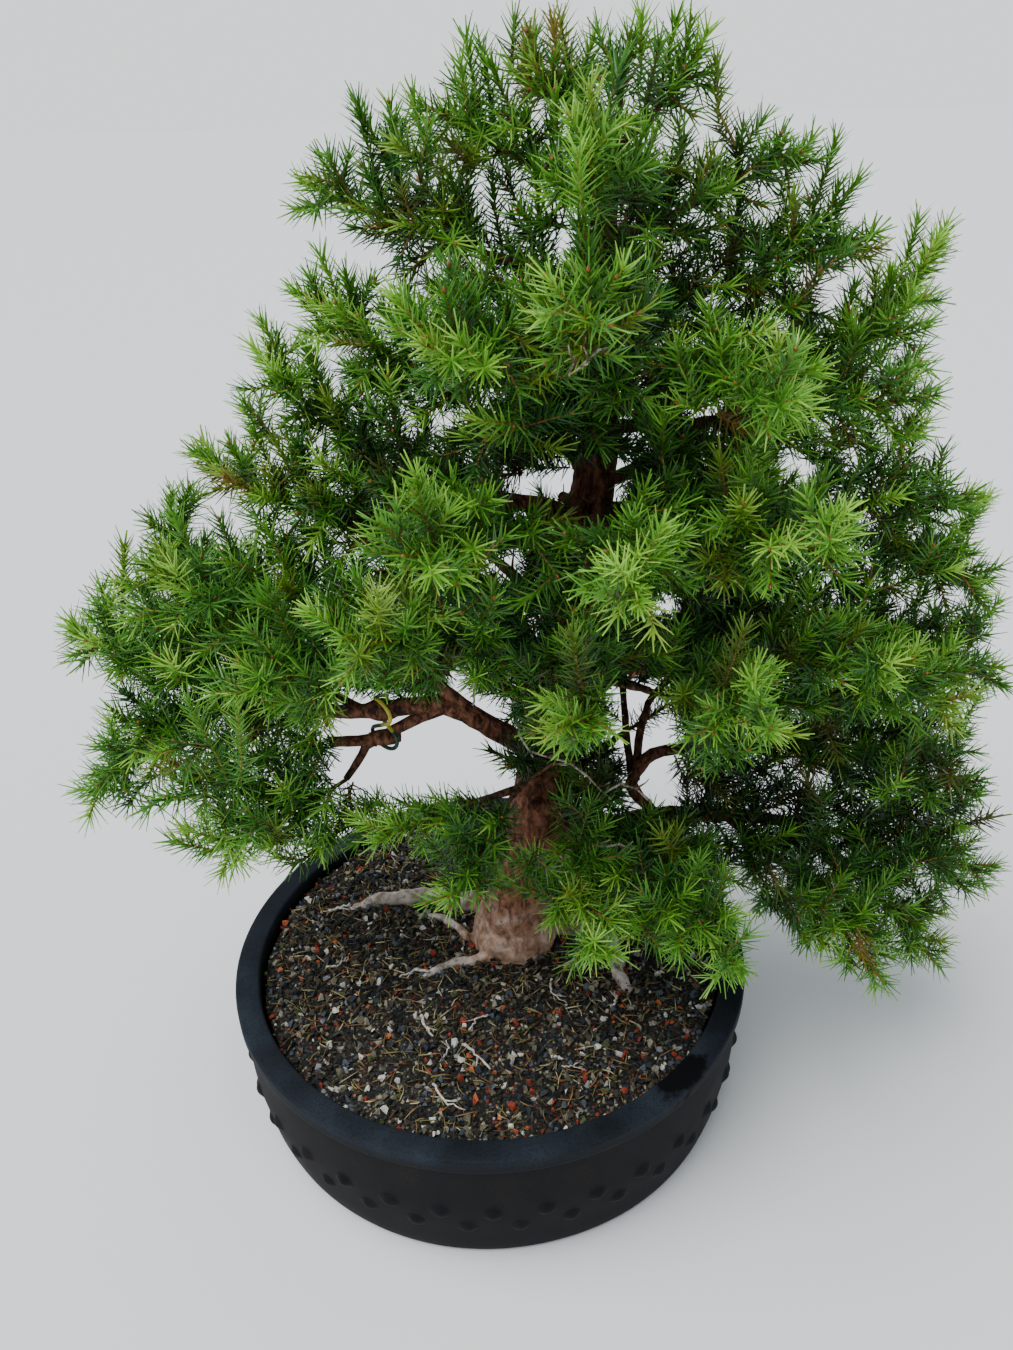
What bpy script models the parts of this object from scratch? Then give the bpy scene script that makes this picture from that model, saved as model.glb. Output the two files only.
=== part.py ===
"""A spruce bonsai in a round stoneware drum pot. Metres, +Z up.

The origin lies under the middle of the pot, on the surface that it stands on, and -Y is the
tree's front. The wood is one solid. Each needle spray is a solid of its own, which starts a hair
past the cut end of its twig. Branch places are hand-picked and given in millimetres.
"""

import math
import random
from collections import namedtuple

import bmesh
import bpy
import numpy as np
from mathutils import Matrix, Vector

MM = 0.001
GAP = 0.3 * MM

# Pot
RIM_RADIUS = 140 * MM
POT_HEIGHT = 78 * MM
RIM_WIDTH = 13 * MM
LIP_HEIGHT = 8 * MM
BODY_RADIUS = 137.6 * MM
BASE_RADIUS = 130 * MM
FLOOR = 8 * MM
POT_STEPS = 34
BOSS_COUNT = 34
BOSS_ROWS = (26.5 * MM, 37.5 * MM)
BOSS_RADIUS = 4.9 * MM
BOSS_PROUD = 2.0 * MM
BOSS_SUNK = 1.6 * MM
DRAIN_RADIUS = 9 * MM
DRAIN_OFFSET = 48 * MM
GROOVE_WIDTH = 8 * MM
GROOVE_DEPTH = 2.5 * MM

# Drainage screens
SCREEN_OPENINGS = 2
SCREEN_OPENING = 8.6 * MM
SCREEN_BAR = 1.6 * MM
SCREEN_THICKNESS = 1.2 * MM

# Soil
SOIL_EDGE = 70 * MM
SOIL_MOUND = 6 * MM
SOIL_GRIT = 0.7 * MM
SOIL_RINGS = 5
SOIL_SPOKES = 22

# Trunk: x, y, z and radius, from the root ball up
TRUNK = (
    (13, 8, 34, 17),
    (13, 8, 62, 24),
    (13, 7, 76, 23),
    (14, 6, 90, 21.5),
    (17, 4, 106, 17.5),
    (21, 2, 128, 15),
    (29, 0, 178, 13.6),
    (36, -1, 225, 12.6),
    (43, 0, 272, 11.4),
    (53, 0, 330, 10),
    (58, 1, 372, 7.6),
    (58, 2, 412, 5.8),
    (59, 1, 450, 4.2),
    (61, 0, 476, 2.8),
    (63, 0, 488, 1.5),
)
TRUNK_SIDES = 9
BARK_UNEVENNESS = 0.03
BURLS = ((5, -3, 84, 12), (23, 1, 82, 13), (12, 20, 80, 13))

# Short wood that carries no spray: start, end and radius
STUBS = (
    ((-50, -11, 220.5), (-73, -10, 220), 3.2),
    ((52, -8, 334), (40, -19, 344), 3.0),
    ((30, -8, 182), (24, -25, 188), 2.6),
    ((92, 2, 158), (104, -14, 170), 2.0),
)

# Surface roots: the points that each passes through, and its radius at the trunk
ROOTS = (
    (((8, 22, 84), (-14, 34, 80), (-36, 40, 78), (-60, 42, 76), (-84, 38, 70)), 7.0),
    (((4, 0, 80), (-12, 5, 78), (-24, 20, 77), (-36, 26, 75.5), (-47, 22, 71)), 3.0),
    (((6, -8, 80), (-7, -12, 77), (-20, -14, 76.5), (-33, -20, 75), (-50, -29, 70)), 3.4),
    (((22, 6, 80), (46, 12, 78), (66, 4, 77), (69, -14, 76.5), (71, -30, 74), (80, -38, 69)), 6.6),
    (((16, 20, 82), (28, 44, 77), (34, 66, 75), (52, 84, 69)), 5.6),
)

ROOT_RING_SPACING = 20 * MM
ROOT_NARROWING = 0.5

Branch = namedtuple("Branch", "name leaves radius bends tip")

# Branches in millimetres. A branch leaves the trunk at a height, or another branch at a share of
# its length. The tip is the end of the spray that it carries.
BRANCHES = (
    Branch("right_low", 152, 6.4, ((72, 0, 158), (112, 6, 158), (170, 6, 148)), (264, 0, 118)),
    Branch("right_low_front", ("right_low", 0.42), 2.6, (), (196, -52, 98)),
    Branch("right_low_outer", ("right_low", 0.56), 2.4, (), (236, -18, 78)),
    Branch("fork_right", ("right_low", 0.27), 3.6,
           ((76, 4, 180), (84, 8, 193), (120, 14, 195)), (256, 38, 172)),
    Branch("fork_back_right", ("fork_right", 0.13), 2.4, ((90, 36, 212),), (178, 112, 250)),
    Branch("fork_back", ("fork_right", 0.10), 2.2, ((76, 40, 208),), (82, 132, 240)),
    Branch("front_right_low", 158, 3.2, ((62, -30, 172),), (112, -96, 148)),
    Branch("front_low", 182, 3.0, ((40, -34, 186),), (50, -92, 152)),
    Branch("front_left_low", 196, 3.0, ((18, -30, 204),), (-14, -84, 178)),
    Branch("front_left_inner", ("front_left_low", 0.30), 2.0, (), (-48, -52, 192)),
    Branch("back_low_right", 166, 3.4, ((58, 36, 176),), (132, 118, 172)),
    Branch("back_low_left", 214, 3.2, ((10, 40, 224),), (-52, 124, 222)),

    Branch("left_low", 200, 6.2, ((4, -6, 224), (-16, -10, 239), (-38, -10, 238),
                                  (-54, -10, 236), (-74, -9, 238), (-118, -2, 248)),
           (-188, 0, 278)),
    Branch("left_low_drop", ("left_low", 0.262), 3.4,
           ((-41, -10.5, 226), (-47, -11, 221.5), (-55, -11, 219), (-58, -11, 211),
            (-66, -12, 200), (-84, -15, 190)), (-132, -46, 182)),
    Branch("left_low_outer", ("left_low", 0.55), 2.4, ((-140, -14, 236),), (-184, -30, 208)),
    Branch("left_low_rise", ("left_low", 0.50), 2.2, ((-128, 10, 270),), (-138, 20, 328)),
    Branch("left_low_back", ("left_low", 0.42), 2.4, ((-106, 24, 250),), (-142, 66, 262)),
    Branch("left_low_fork", ("left_low", 0.16), 4.0, ((-34, -11, 266), (-56, -14, 284)),
           (-132, -26, 312)),
    Branch("left_low_front", ("left_low_fork", 0.40), 2.4, (), (-96, -74, 284)),

    Branch("front_left_mid", 258, 3.4, ((22, -36, 282),), (-44, -112, 326)),
    Branch("front_mid", 262, 3.2, ((42, -40, 280),), (44, -124, 292)),
    Branch("front_right_mid", 250, 3.4, ((66, -36, 262),), (112, -118, 286)),
    Branch("wired", 244, 3.2, ((66, -22, 261), (96, -29, 263), (118, -32, 269)), (172, -62, 280)),
    Branch("right_mid", 268, 4.4, ((98, 2, 268), (160, 8, 258)), (250, 14, 238)),
    Branch("right_mid_front", ("right_mid", 0.42), 2.4, (), (208, -58, 256)),
    Branch("back_mid", 280, 3.6, ((50, 52, 284),), (62, 142, 292)),
    Branch("back_left_mid", 270, 3.4, ((10, 40, 292),), (-66, 112, 322)),
    Branch("back_right_mid", 284, 3.6, ((88, 44, 290),), (186, 110, 298)),

    Branch("left_mid", 322, 5.2, ((32, -3, 334), (6, -8, 340), (-28, -10, 334), (-50, -10, 328)),
           (-110, -2, 356)),
    Branch("left_mid_rise", ("left_mid", 0.40), 2.6, ((-40, 6, 352),), (-88, 22, 396)),
    Branch("front_left_high", 316, 3.4, ((30, -40, 332),), (-18, -124, 362)),
    Branch("front_high", 326, 3.2, ((56, -44, 340),), (58, -134, 346)),
    Branch("front_right_high", 332, 3.4, ((80, -36, 342),), (130, -112, 352)),
    Branch("right_high", 326, 4.0, ((98, -1, 330), (150, 2, 326)), (242, 26, 276)),
    Branch("right_high_rise", ("right_high", 0.50), 2.4, ((188, 4, 330),), (228, 12, 324)),
    Branch("back_high", 338, 3.2, ((46, 46, 348),), (26, 130, 364)),
    Branch("back_right_high", 340, 3.2, ((92, 36, 346),), (166, 100, 364)),

    Branch("right_upper", 368, 3.2, ((104, 2, 368), (152, 12, 378)), (196, 22, 424)),
    Branch("right_upper_low", ("right_upper", 0.45), 2.2, (), (192, -10, 378)),
    Branch("left_upper", 378, 2.8, ((18, -4, 388), (-24, -6, 398)), (-60, -4, 424)),
    Branch("front_left_upper", 380, 2.6, ((38, -34, 396),), (-10, -98, 424)),
    Branch("front_upper", 386, 2.6, ((56, -38, 402),), (42, -106, 432)),
    Branch("front_right_upper", 378, 2.6, ((82, -32, 388),), (112, -100, 404)),
    Branch("back_upper", 392, 2.6, ((60, 40, 398),), (62, 106, 414)),

    Branch("left_top", 422, 2.4, ((26, -2, 434),), (-50, 0, 462)),
    Branch("right_top", 414, 2.4, ((98, 4, 420),), (162, 16, 438)),
    Branch("front_top", 438, 2.0, ((54, -22, 452),), (46, -64, 478)),
    Branch("back_top", 436, 2.0, ((68, 26, 444),), (80, 72, 458)),
    Branch("right_crest", 442, 1.9, ((84, 2, 450),), (134, 12, 470)),
    Branch("left_crest", 456, 1.8, ((40, -2, 464),), (0, 2, 486)),
    Branch("leader_left", 472, 1.6, ((50, -2, 482),), (30, -8, 504)),
    Branch("leader_right", 474, 1.6, ((74, 0, 484),), (92, 2, 504)),
)
LEADER_TIP = (66, 0, 512)
THICK_BRANCH = 3.3 * MM
THICK_RING_SPACING = 25 * MM
THIN_RING_SPACING = 52 * MM

# Sprays
SPRAY_LENGTH = 78 * MM
SPRAY_SHARE = 0.60
TWIG_RADIUS = 1.6 * MM
CORE_TIP_RADIUS = 1.2 * MM
CORE_RINGS = 3
BRANCHLETS = 4
BRANCHLET_RADIUS = 1.15 * MM
BRANCHLET_SHARE = 0.44
BRANCHLET_NARROWING = 0.25
NEEDLE_LENGTH = 13.5 * MM
NEEDLE_RADIUS = 0.56 * MM
NEEDLES_PER_SHOOT = 2
NEEDLES_ON_CORE = 3

# Wires
TIE_RADIUS = 1.0 * MM
TIE_UPPER = (-46, -10, 237)
TIE_LOWER = (-46, -11, 222)
TIE_REACHES = (7.0 * MM, 5.6 * MM)
TIE_DRIFT = 7.0 * MM
WIRE_RADIUS = 0.9 * MM
WIRE_TURNS = 3
WIRE_STEPS_PER_TURN = 8
WIRE_STARTS = 0.42
WIRE_ENDS = 0.96
WIRE_ROOM = 0.7 * MM

UP = Vector((0, 0, 1))


# Materials

def material(name, colour, roughness, metallic=0.0):
    made = bpy.data.materials.new(name)
    made.use_nodes = True
    shader = made.node_tree.nodes["Principled BSDF"]
    shader.inputs["Base Color"].default_value = (*colour, 1.0)
    shader.inputs["Roughness"].default_value = roughness
    shader.inputs["Metallic"].default_value = metallic
    return made


# Meshes and objects

def new_object(name, mesh, finish=None, origin=None):
    """The bmesh as an object, with its own origin moved to where it starts."""
    data = bpy.data.meshes.new(name)
    if origin is not None:
        bmesh.ops.translate(mesh, verts=mesh.verts, vec=-Vector(origin))
    mesh.to_mesh(data)
    mesh.free()
    obj = bpy.data.objects.new(name, data)
    if origin is not None:
        obj.location = origin
    if finish is not None:
        data.materials.append(finish)
    bpy.context.scene.collection.objects.link(obj)
    return obj


def shade_smooth(obj, degrees=40):
    obj.data.shade_smooth()
    obj.data.set_sharp_from_angle(angle=math.radians(degrees))


def as_cutter(obj):
    obj.hide_render = True
    obj.display_type = "WIRE"
    return obj


def largest_island(mesh):
    """Drops loose scraps and the walls of sealed hollows."""
    found = []
    waiting = set(mesh.verts)
    while waiting:
        island = set()
        edge_of_it = [waiting.pop()]
        while edge_of_it:
            vert = edge_of_it.pop()
            island.add(vert)
            for edge in vert.link_edges:
                other = edge.other_vert(vert)
                if other in waiting:
                    waiting.discard(other)
                    edge_of_it.append(other)
        found.append(island)
    biggest = max(found, key=len)
    loose = [vert for island in found if island is not biggest for vert in island]
    bmesh.ops.delete(mesh, geom=loose, context="VERTS")


def fuse(name, pieces, finish, origin):
    """One closed solid from pieces that overlap, by one Boolean union on their collection."""
    body = pieces[0]
    others = bpy.data.collections.new(name + "_pieces")
    bpy.context.scene.collection.children.link(others)
    for piece in pieces[1:]:
        bpy.context.scene.collection.objects.unlink(piece)
        others.objects.link(piece)
    union = body.modifiers.new("join", "BOOLEAN")
    union.operation = "UNION"
    union.operand_type = "COLLECTION"
    union.collection = others
    graph = bpy.context.evaluated_depsgraph_get()
    mesh = bmesh.new()
    mesh.from_object(body, graph)
    for piece in pieces:
        bpy.data.objects.remove(piece)
    bpy.data.collections.remove(others)
    bmesh.ops.triangulate(mesh, faces=mesh.faces)
    largest_island(mesh)
    return new_object(name, mesh, finish, origin)


def carried_frames(points, first=None, last=None):
    """A right-angled frame at each point, carried along the path without twist.

    The first and last directions turn the flat ends, where those follow a curve.
    """
    points = [Vector(point) for point in points]
    steps = [(b - a).normalized() for a, b in zip(points, points[1:])]
    inner = [(a + b).normalized() for a, b in zip(steps, steps[1:])]
    steps = [first or steps[0]] + inner + [last or steps[-1]]
    side = steps[0].orthogonal().normalized()
    frames = []
    for point, step in zip(points, steps):
        side = (side - step * side.dot(step)).normalized()
        frames.append((point, side, step.cross(side)))
    return frames


def tube(points, radii, sides, roll=0.0, first=None, last=None):
    """A tube with flat ends, or with a sharp end where its last radius is 0."""
    mesh = bmesh.new()
    rings = []
    turns = [roll + 2 * math.pi * k / sides for k in range(sides)]
    for (point, side, up), radius in zip(carried_frames(points, first, last), radii):
        if radius == 0:
            rings.append([mesh.verts.new(point)])
            continue
        rings.append([
            mesh.verts.new(point + (side * math.cos(turn) + up * math.sin(turn)) * radius)
            for turn in turns
        ])
    mesh.faces.new(rings[0][::-1])
    for low, high in zip(rings, rings[1:]):
        for k in range(sides):
            after = (k + 1) % sides
            if len(high) == 1:
                mesh.faces.new((low[k], low[after], high[0]))
            else:
                mesh.faces.new((low[k], low[after], high[after], high[k]))
    if len(rings[-1]) > 1:
        mesh.faces.new(rings[-1])
    bmesh.ops.recalc_face_normals(mesh, faces=mesh.faces)
    return mesh


# Paths and clearance

class Path:
    """A smooth curve through points, read by its length."""

    def __init__(self, points, samples=12):
        points = [np.array(point, float) for point in points]
        points = [2 * points[0] - points[1]] + points + [2 * points[-1] - points[-2]]
        dense = []
        for before, start, end, after in zip(points, points[1:], points[2:], points[3:]):
            for t in np.arange(samples) / samples:
                dense.append(0.5 * (
                    2 * start + (end - before) * t
                    + (2 * before - 5 * start + 4 * end - after) * t ** 2
                    + (3 * start - before - 3 * end + after) * t ** 3
                ))
        dense.append(points[-2])
        self.points = np.array(dense)
        steps = np.linalg.norm(np.diff(self.points, axis=0), axis=1)
        self.lengths = np.concatenate([[0], np.cumsum(steps)])
        self.length = self.lengths[-1]

    def at(self, length):
        return Vector([float(np.interp(length, self.lengths, axis)) for axis in self.points.T])

    def direction(self, length):
        low = max(0.0, length - 1 * MM)
        high = min(self.length, length + 1 * MM)
        return (self.at(high) - self.at(low)).normalized()

    def between(self, start, end, count):
        return [self.at(length) for length in np.linspace(start, end, count)]


class Clearance:
    """Round bars that stand for everything placed so far, each with its owner's name."""

    def __init__(self):
        self.starts = []
        self.ends = []
        self.radii = []
        self.owners = []

    def add(self, start, end, radius, owner):
        self.starts.append(tuple(start))
        self.ends.append(tuple(end))
        self.radii.append(radius)
        self.owners.append(owner)

    def add_path(self, points, radii, owner):
        for start, end, first, second in zip(points, points[1:], radii, radii[1:]):
            self.add(start, end, max(first, second), owner)

    def room(self, start, end, radius, skip=()):
        """The narrowest space between a new bar and those of every owner but the skipped."""
        kept = [k for k, owner in enumerate(self.owners) if owner not in skip]
        if not kept:
            return 1.0
        low = np.array([self.starts[k] for k in kept])
        across = np.array([self.ends[k] for k in kept]) - low
        radii = np.array([self.radii[k] for k in kept])
        return float((bar_distances(start, end, low, across) - radii - radius).min())


def bar_distances(start, end, low, across):
    """The distances from one straight bar's middle line to many others'."""
    origin = np.array(start, float)
    along = np.array(end, float) - origin
    between = origin - low
    a = along @ along
    e = np.einsum("ij,ij->i", across, across) + 1e-18
    b = across @ along
    c = between @ along
    f = np.einsum("ij,ij->i", across, between)
    spread = a * e - b * b
    s = np.where(spread > 1e-18, np.clip((b * f - c * e) / np.maximum(spread, 1e-18), 0, 1), 0)
    t = (b * s + f) / e
    s = np.where(t < 0, np.clip(-c / a, 0, 1), np.where(t > 1, np.clip((b - c) / a, 0, 1), s))
    t = np.clip((b * s + f) / e, 0, 1)
    nearest = between + s[:, None] * along - t[:, None] * across
    return np.linalg.norm(nearest, axis=1)


def over_pot_or_table(point, margin=4 * MM):
    """True where a point is clear of the pot, the soil and the table."""
    reach = math.hypot(point[0], point[1])
    if reach < RIM_RADIUS + margin:
        return point[2] > POT_HEIGHT + margin
    return point[2] > margin


# The tree's plan, which the wood and the sprays both follow

def scaled(point):
    return tuple(value * MM for value in point)


def trunk_place(height):
    """The trunk's middle at a height, and its radius there, in metres."""
    rows = np.array(TRUNK) * MM
    return tuple(float(np.interp(height * MM, rows[:, 2], rows[:, k])) for k in (0, 1, 2, 3))


def wood_radius(radius, share):
    """How a branch narrows from its root to the cut end of its twig."""
    return TWIG_RADIUS + (radius - TWIG_RADIUS) * (1 - share) ** 0.8


def branch_paths():
    """Each branch's whole curve, the length of its wood, and the radius that it starts with."""
    plan = {}
    for branch in BRANCHES:
        if isinstance(branch.leaves, tuple):
            name, share = branch.leaves
            parent, parent_wood, parent_radius = plan[name]
            line, _ = wood_points(parent, parent_wood, parent_radius)
            root = on_line(line, share * parent.length / parent_wood)[0]
        else:
            root = Vector(trunk_place(branch.leaves)[:3])
        tip = Vector(scaled(branch.tip))
        bends = [Vector(scaled(bend)) for bend in branch.bends]
        if not bends:
            bend = root.lerp(tip, 0.45)
            bend.z = root.z + 0.3 * (tip.z - root.z)
            bends = [bend]
        path = Path([root, *bends, tip])
        spray = min(SPRAY_LENGTH, SPRAY_SHARE * path.length)
        plan[branch.name] = (path, path.length - spray, branch.radius * MM)
    top = Vector(scaled(TRUNK[-1][:3]))
    leader = Path([top, Vector(scaled(LEADER_TIP))])
    plan["leader"] = (leader, 0.0, TWIG_RADIUS)
    return plan


def wood_points(path, wood, radius):
    """Points and radii along a branch's wood."""
    count = 2 + int(wood / (THICK_RING_SPACING if radius > THICK_BRANCH else THIN_RING_SPACING))
    points = path.between(0, wood, count)
    radii = [wood_radius(radius, k / (count - 1)) for k in range(count)]
    return points, radii


def on_line(points, share):
    """The point, direction and side at a share of a line of even steps."""
    steps = len(points) - 1
    low = min(int(share * steps), steps - 1)
    along = (points[low + 1] - points[low]).normalized()
    side = carried_frames(points)[low][1]
    side = (side - along * side.dot(along)).normalized()
    return points[low].lerp(points[low + 1], share * steps - low), along, side


def branchlet_line(core, length, rank, rng):
    """Where one side shoot of a spray starts and ends."""
    share = 0.12 + 0.72 * rank / (BRANCHLETS - 1)
    root, along, _ = on_line(core, share)
    level = along.cross(UP).normalized()
    over = level.cross(along).normalized()
    roll = math.radians(rng.uniform(12, 68)) * (1 if rng.random() < 0.75 else -0.6)
    side = level * math.cos(roll) * (1 if rank % 2 else -1) + over * math.sin(roll)
    lean = math.radians(58 - 20 * share + rng.uniform(-6, 6))
    reach = length * BRANCHLET_SHARE * (1 - 0.38 * share) * rng.uniform(0.88, 1.12)
    return root, root + (along * math.cos(lean) + side * math.sin(lean)) * reach


def spray_lines(name, path, start, clearance, rng):
    """A spray's middle line and its side shoots, each turned until it is clear of the rest."""
    core = path.between(start, path.length, CORE_RINGS)
    radii = list(np.linspace(TWIG_RADIUS, CORE_TIP_RADIUS, CORE_RINGS))
    clearance.add_path(core, radii, name)
    shoots = []
    for rank in range(BRANCHLETS):
        for attempt in range(14):
            root, tip = branchlet_line(core, path.length - start, rank, rng)
            clear = clearance.room(root, tip, BRANCHLET_RADIUS, skip=(name,)) > 2 * GAP
            if clear and over_pot_or_table(tip):
                shoots.append((root, tip))
                clearance.add(root, tip, BRANCHLET_RADIUS, name)
                break
    return core, radii, shoots


def needle_line(root, along, side, roll, lean, rng):
    out = Matrix.Rotation(roll, 3, along) @ side
    way = along * math.cos(lean) + out * math.sin(lean)
    return root, root + way * NEEDLE_LENGTH * rng.uniform(0.9, 1.08)


def needle_places(core, shoots):
    """Roots, directions, sides and leans of needles, which stand out more away from a tip."""
    places = []
    for line in shoots:
        for k in range(NEEDLES_PER_SHOOT):
            places.append((*on_line(line, 0.84 - 0.36 * k), 30 + 22 * k))
    for k in range(NEEDLES_ON_CORE):
        places.append((*on_line(core, 0.95 - 0.34 * k), 28 + 10 * k))
    return places


def needle_lines(name, core, shoots, clearance, rng):
    """Needles spread evenly round their shoots, each turned until it touches no other node."""
    lines = []
    for k, (root, along, side, lean) in enumerate(needle_places(core, shoots)):
        for attempt in range(12):
            roll = math.pi / 2 * (k + attempt) + rng.uniform(-0.2, 0.2)
            line = needle_line(root, along, side, roll, math.radians(lean), rng)
            clear = clearance.room(*line, NEEDLE_RADIUS, skip=(name,)) > 2 * GAP
            if clear and over_pot_or_table(line[1]):
                clearance.add(*line, NEEDLE_RADIUS, name)
                lines.append(line)
                break
    return lines


# Sub-parts

def pot_profile():
    """Half the pot's section, from the rim's inner edge round the outside to the inside floor."""
    inner = RIM_RADIUS - RIM_WIDTH
    return (
        (inner, POT_HEIGHT - 1 * MM),
        (inner + 1 * MM, POT_HEIGHT),
        (RIM_RADIUS - 1.6 * MM, POT_HEIGHT),
        (RIM_RADIUS, POT_HEIGHT - 1.8 * MM),
        (RIM_RADIUS - 0.3 * MM, POT_HEIGHT - LIP_HEIGHT),
        (BODY_RADIUS, POT_HEIGHT - LIP_HEIGHT - 1.4 * MM),
        (BODY_RADIUS - 0.6 * MM, 36 * MM),
        (BASE_RADIUS + 3.4 * MM, 12 * MM),
        (BASE_RADIUS, 0),
        (0, 0),
        (0, FLOOR),
        (inner - 8 * MM, FLOOR),
        (inner - 1 * MM, FLOOR + 8 * MM),
    )


def body_radius(height):
    outer = [(z, r) for r, z in pot_profile()[5:9]][::-1]
    return float(np.interp(height, [z for z, r in outer], [r for z, r in outer]))


def turned_pot():
    mesh = bmesh.new()
    corners = [mesh.verts.new((radius, 0, height)) for radius, height in pot_profile()]
    edges = [mesh.edges.new(pair) for pair in zip(corners, corners[1:] + corners[:1])]
    edges = [edge for edge in edges if max(abs(vert.co.x) for vert in edge.verts) > 0]
    bmesh.ops.spin(
        mesh, geom=corners + edges, cent=(0, 0, 0), axis=(0, 0, 1),
        angle=2 * math.pi, steps=POT_STEPS, use_merge=True,
    )
    bmesh.ops.remove_doubles(mesh, verts=mesh.verts, dist=0.01 * MM)
    bmesh.ops.recalc_face_normals(mesh, faces=mesh.faces)
    return mesh


def boss(angle, height):
    """A low nail head on the pot's wall."""
    mesh = bmesh.new()
    bmesh.ops.create_cone(
        mesh, cap_ends=True, segments=6, radius1=1.6 * BOSS_RADIUS, radius2=0,
        depth=BOSS_PROUD + BOSS_SUNK,
    )
    out = Vector((math.cos(angle), math.sin(angle), 0))
    middle = out * (body_radius(height) + (BOSS_PROUD - BOSS_SUNK) / 2) + UP * height
    turn = out.to_track_quat("Z", "Y").to_matrix().to_4x4()
    bmesh.ops.transform(mesh, matrix=Matrix.Translation(middle) @ turn, verts=mesh.verts)
    return mesh


def drain_places():
    return (("left", -DRAIN_OFFSET), ("right", DRAIN_OFFSET))


def drain_cutter(name, x):
    """One drain hole with the groove that leads its water out under the base."""
    hole = bmesh.new()
    bmesh.ops.create_cone(
        hole, cap_ends=True, segments=14, radius1=DRAIN_RADIUS, radius2=DRAIN_RADIUS,
        depth=4 * FLOOR,
    )
    bmesh.ops.translate(hole, verts=hole.verts, vec=(x, 0, 0))
    groove = bmesh.new()
    bmesh.ops.create_cube(groove, size=1)
    reach = BASE_RADIUS + 10 * MM - abs(x)
    bmesh.ops.scale(groove, verts=groove.verts, vec=(reach, GROOVE_WIDTH, 2 * GROOVE_DEPTH))
    middle = math.copysign(abs(x) + reach / 2, x)
    bmesh.ops.translate(groove, verts=groove.verts, vec=(middle, 0, 0))
    return [new_object(f"drain_hole_{name}", hole), new_object(f"drain_groove_{name}", groove)]


def cut(obj, cutters):
    for cutter in cutters:
        difference = obj.modifiers.new("cut_" + cutter.name, "BOOLEAN")
        difference.operation = "DIFFERENCE"
        difference.object = as_cutter(cutter)


def make_pot(stoneware):
    pieces = [new_object("pot_body", turned_pot())]
    for row, height in enumerate(BOSS_ROWS):
        for k in range(BOSS_COUNT):
            angle = -math.pi / 2 + (k + 0.5 * (row + 1)) * 2 * math.pi / BOSS_COUNT
            pieces.append(new_object(f"boss_{row}_{k}", boss(angle, height)))
    pot = fuse("pot", pieces, stoneware, (0, 0, 0))
    for name, x in drain_places():
        cut(pot, drain_cutter(name, x))
    shade_smooth(pot)
    return pot


def screen_side():
    return SCREEN_OPENINGS * SCREEN_OPENING + (SCREEN_OPENINGS + 1) * SCREEN_BAR


def make_screen(name, x, plastic):
    """A square plastic mesh over a drain hole."""
    lines = [-screen_side() / 2]
    for k in range(2 * SCREEN_OPENINGS + 1):
        lines.append(lines[-1] + (SCREEN_OPENING if k % 2 else SCREEN_BAR))
    mesh = bmesh.new()
    grid = [[mesh.verts.new((u, v, 0)) for v in lines] for u in lines]
    for i in range(len(lines) - 1):
        for j in range(len(lines) - 1):
            if i % 2 and j % 2:
                continue
            mesh.faces.new((grid[i][j], grid[i + 1][j], grid[i + 1][j + 1], grid[i][j + 1]))
    raised = bmesh.ops.extrude_face_region(mesh, geom=list(mesh.faces), use_keep_orig=True)
    lifted = [item for item in raised["geom"] if isinstance(item, bmesh.types.BMVert)]
    bmesh.ops.translate(mesh, verts=lifted, vec=(0, 0, SCREEN_THICKNESS))
    bmesh.ops.recalc_face_normals(mesh, faces=mesh.faces)
    screen = new_object("drain_screen_" + name, mesh, plastic)
    screen.location = (x, 0, FLOOR + GAP)
    return screen


def soil_height(x, y):
    """The soil's surface: a low mound that falls to the pot's wall."""
    share = min(1.0, math.hypot(x, y) / (RIM_RADIUS - RIM_WIDTH))
    return SOIL_EDGE + SOIL_MOUND * (1 - share ** 2)


def soil_block():
    """The pot's inside, filled, with a gritty top."""
    rng = random.Random(11)
    mesh = bmesh.new()
    wall = RIM_RADIUS - RIM_WIDTH - 1 * MM - 2 * GAP
    spokes = [2 * math.pi * k / SOIL_SPOKES for k in range(SOIL_SPOKES)]
    rings = []
    for rank in range(1, SOIL_RINGS + 1):
        reach = wall * rank / SOIL_RINGS
        ring = []
        for turn in spokes:
            x, y = reach * math.cos(turn), reach * math.sin(turn)
            grit = rng.uniform(-SOIL_GRIT, SOIL_GRIT) if rank < SOIL_RINGS else 0
            ring.append(mesh.verts.new((x, y, soil_height(x, y) + grit)))
        rings.append(ring)
    for reach, height in ((wall, FLOOR + 8 * MM + GAP), (wall - 7 * MM, FLOOR + GAP)):
        rings.append([
            mesh.verts.new((reach * math.cos(turn), reach * math.sin(turn), height))
            for turn in spokes
        ])
    top = mesh.verts.new((0, 0, soil_height(0, 0)))
    for k in range(SOIL_SPOKES):
        after = (k + 1) % SOIL_SPOKES
        mesh.faces.new((top, rings[0][k], rings[0][after]))
        for low, high in zip(rings, rings[1:]):
            mesh.faces.new((low[k], high[k], high[after], low[after]))
    mesh.faces.new(rings[-1][::-1])
    bmesh.ops.triangulate(mesh, faces=mesh.faces)
    bmesh.ops.recalc_face_normals(mesh, faces=mesh.faces)
    return mesh


def screen_pocket(name, x):
    pocket = bmesh.new()
    bmesh.ops.create_cube(pocket, size=1)
    side = screen_side() + 2 * GAP
    bmesh.ops.scale(pocket, verts=pocket.verts, vec=(side, side, 2 * (SCREEN_THICKNESS + GAP)))
    bmesh.ops.translate(pocket, verts=pocket.verts, vec=(x, 0, FLOOR + GAP))
    return new_object("pocket_" + name, pocket)


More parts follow.
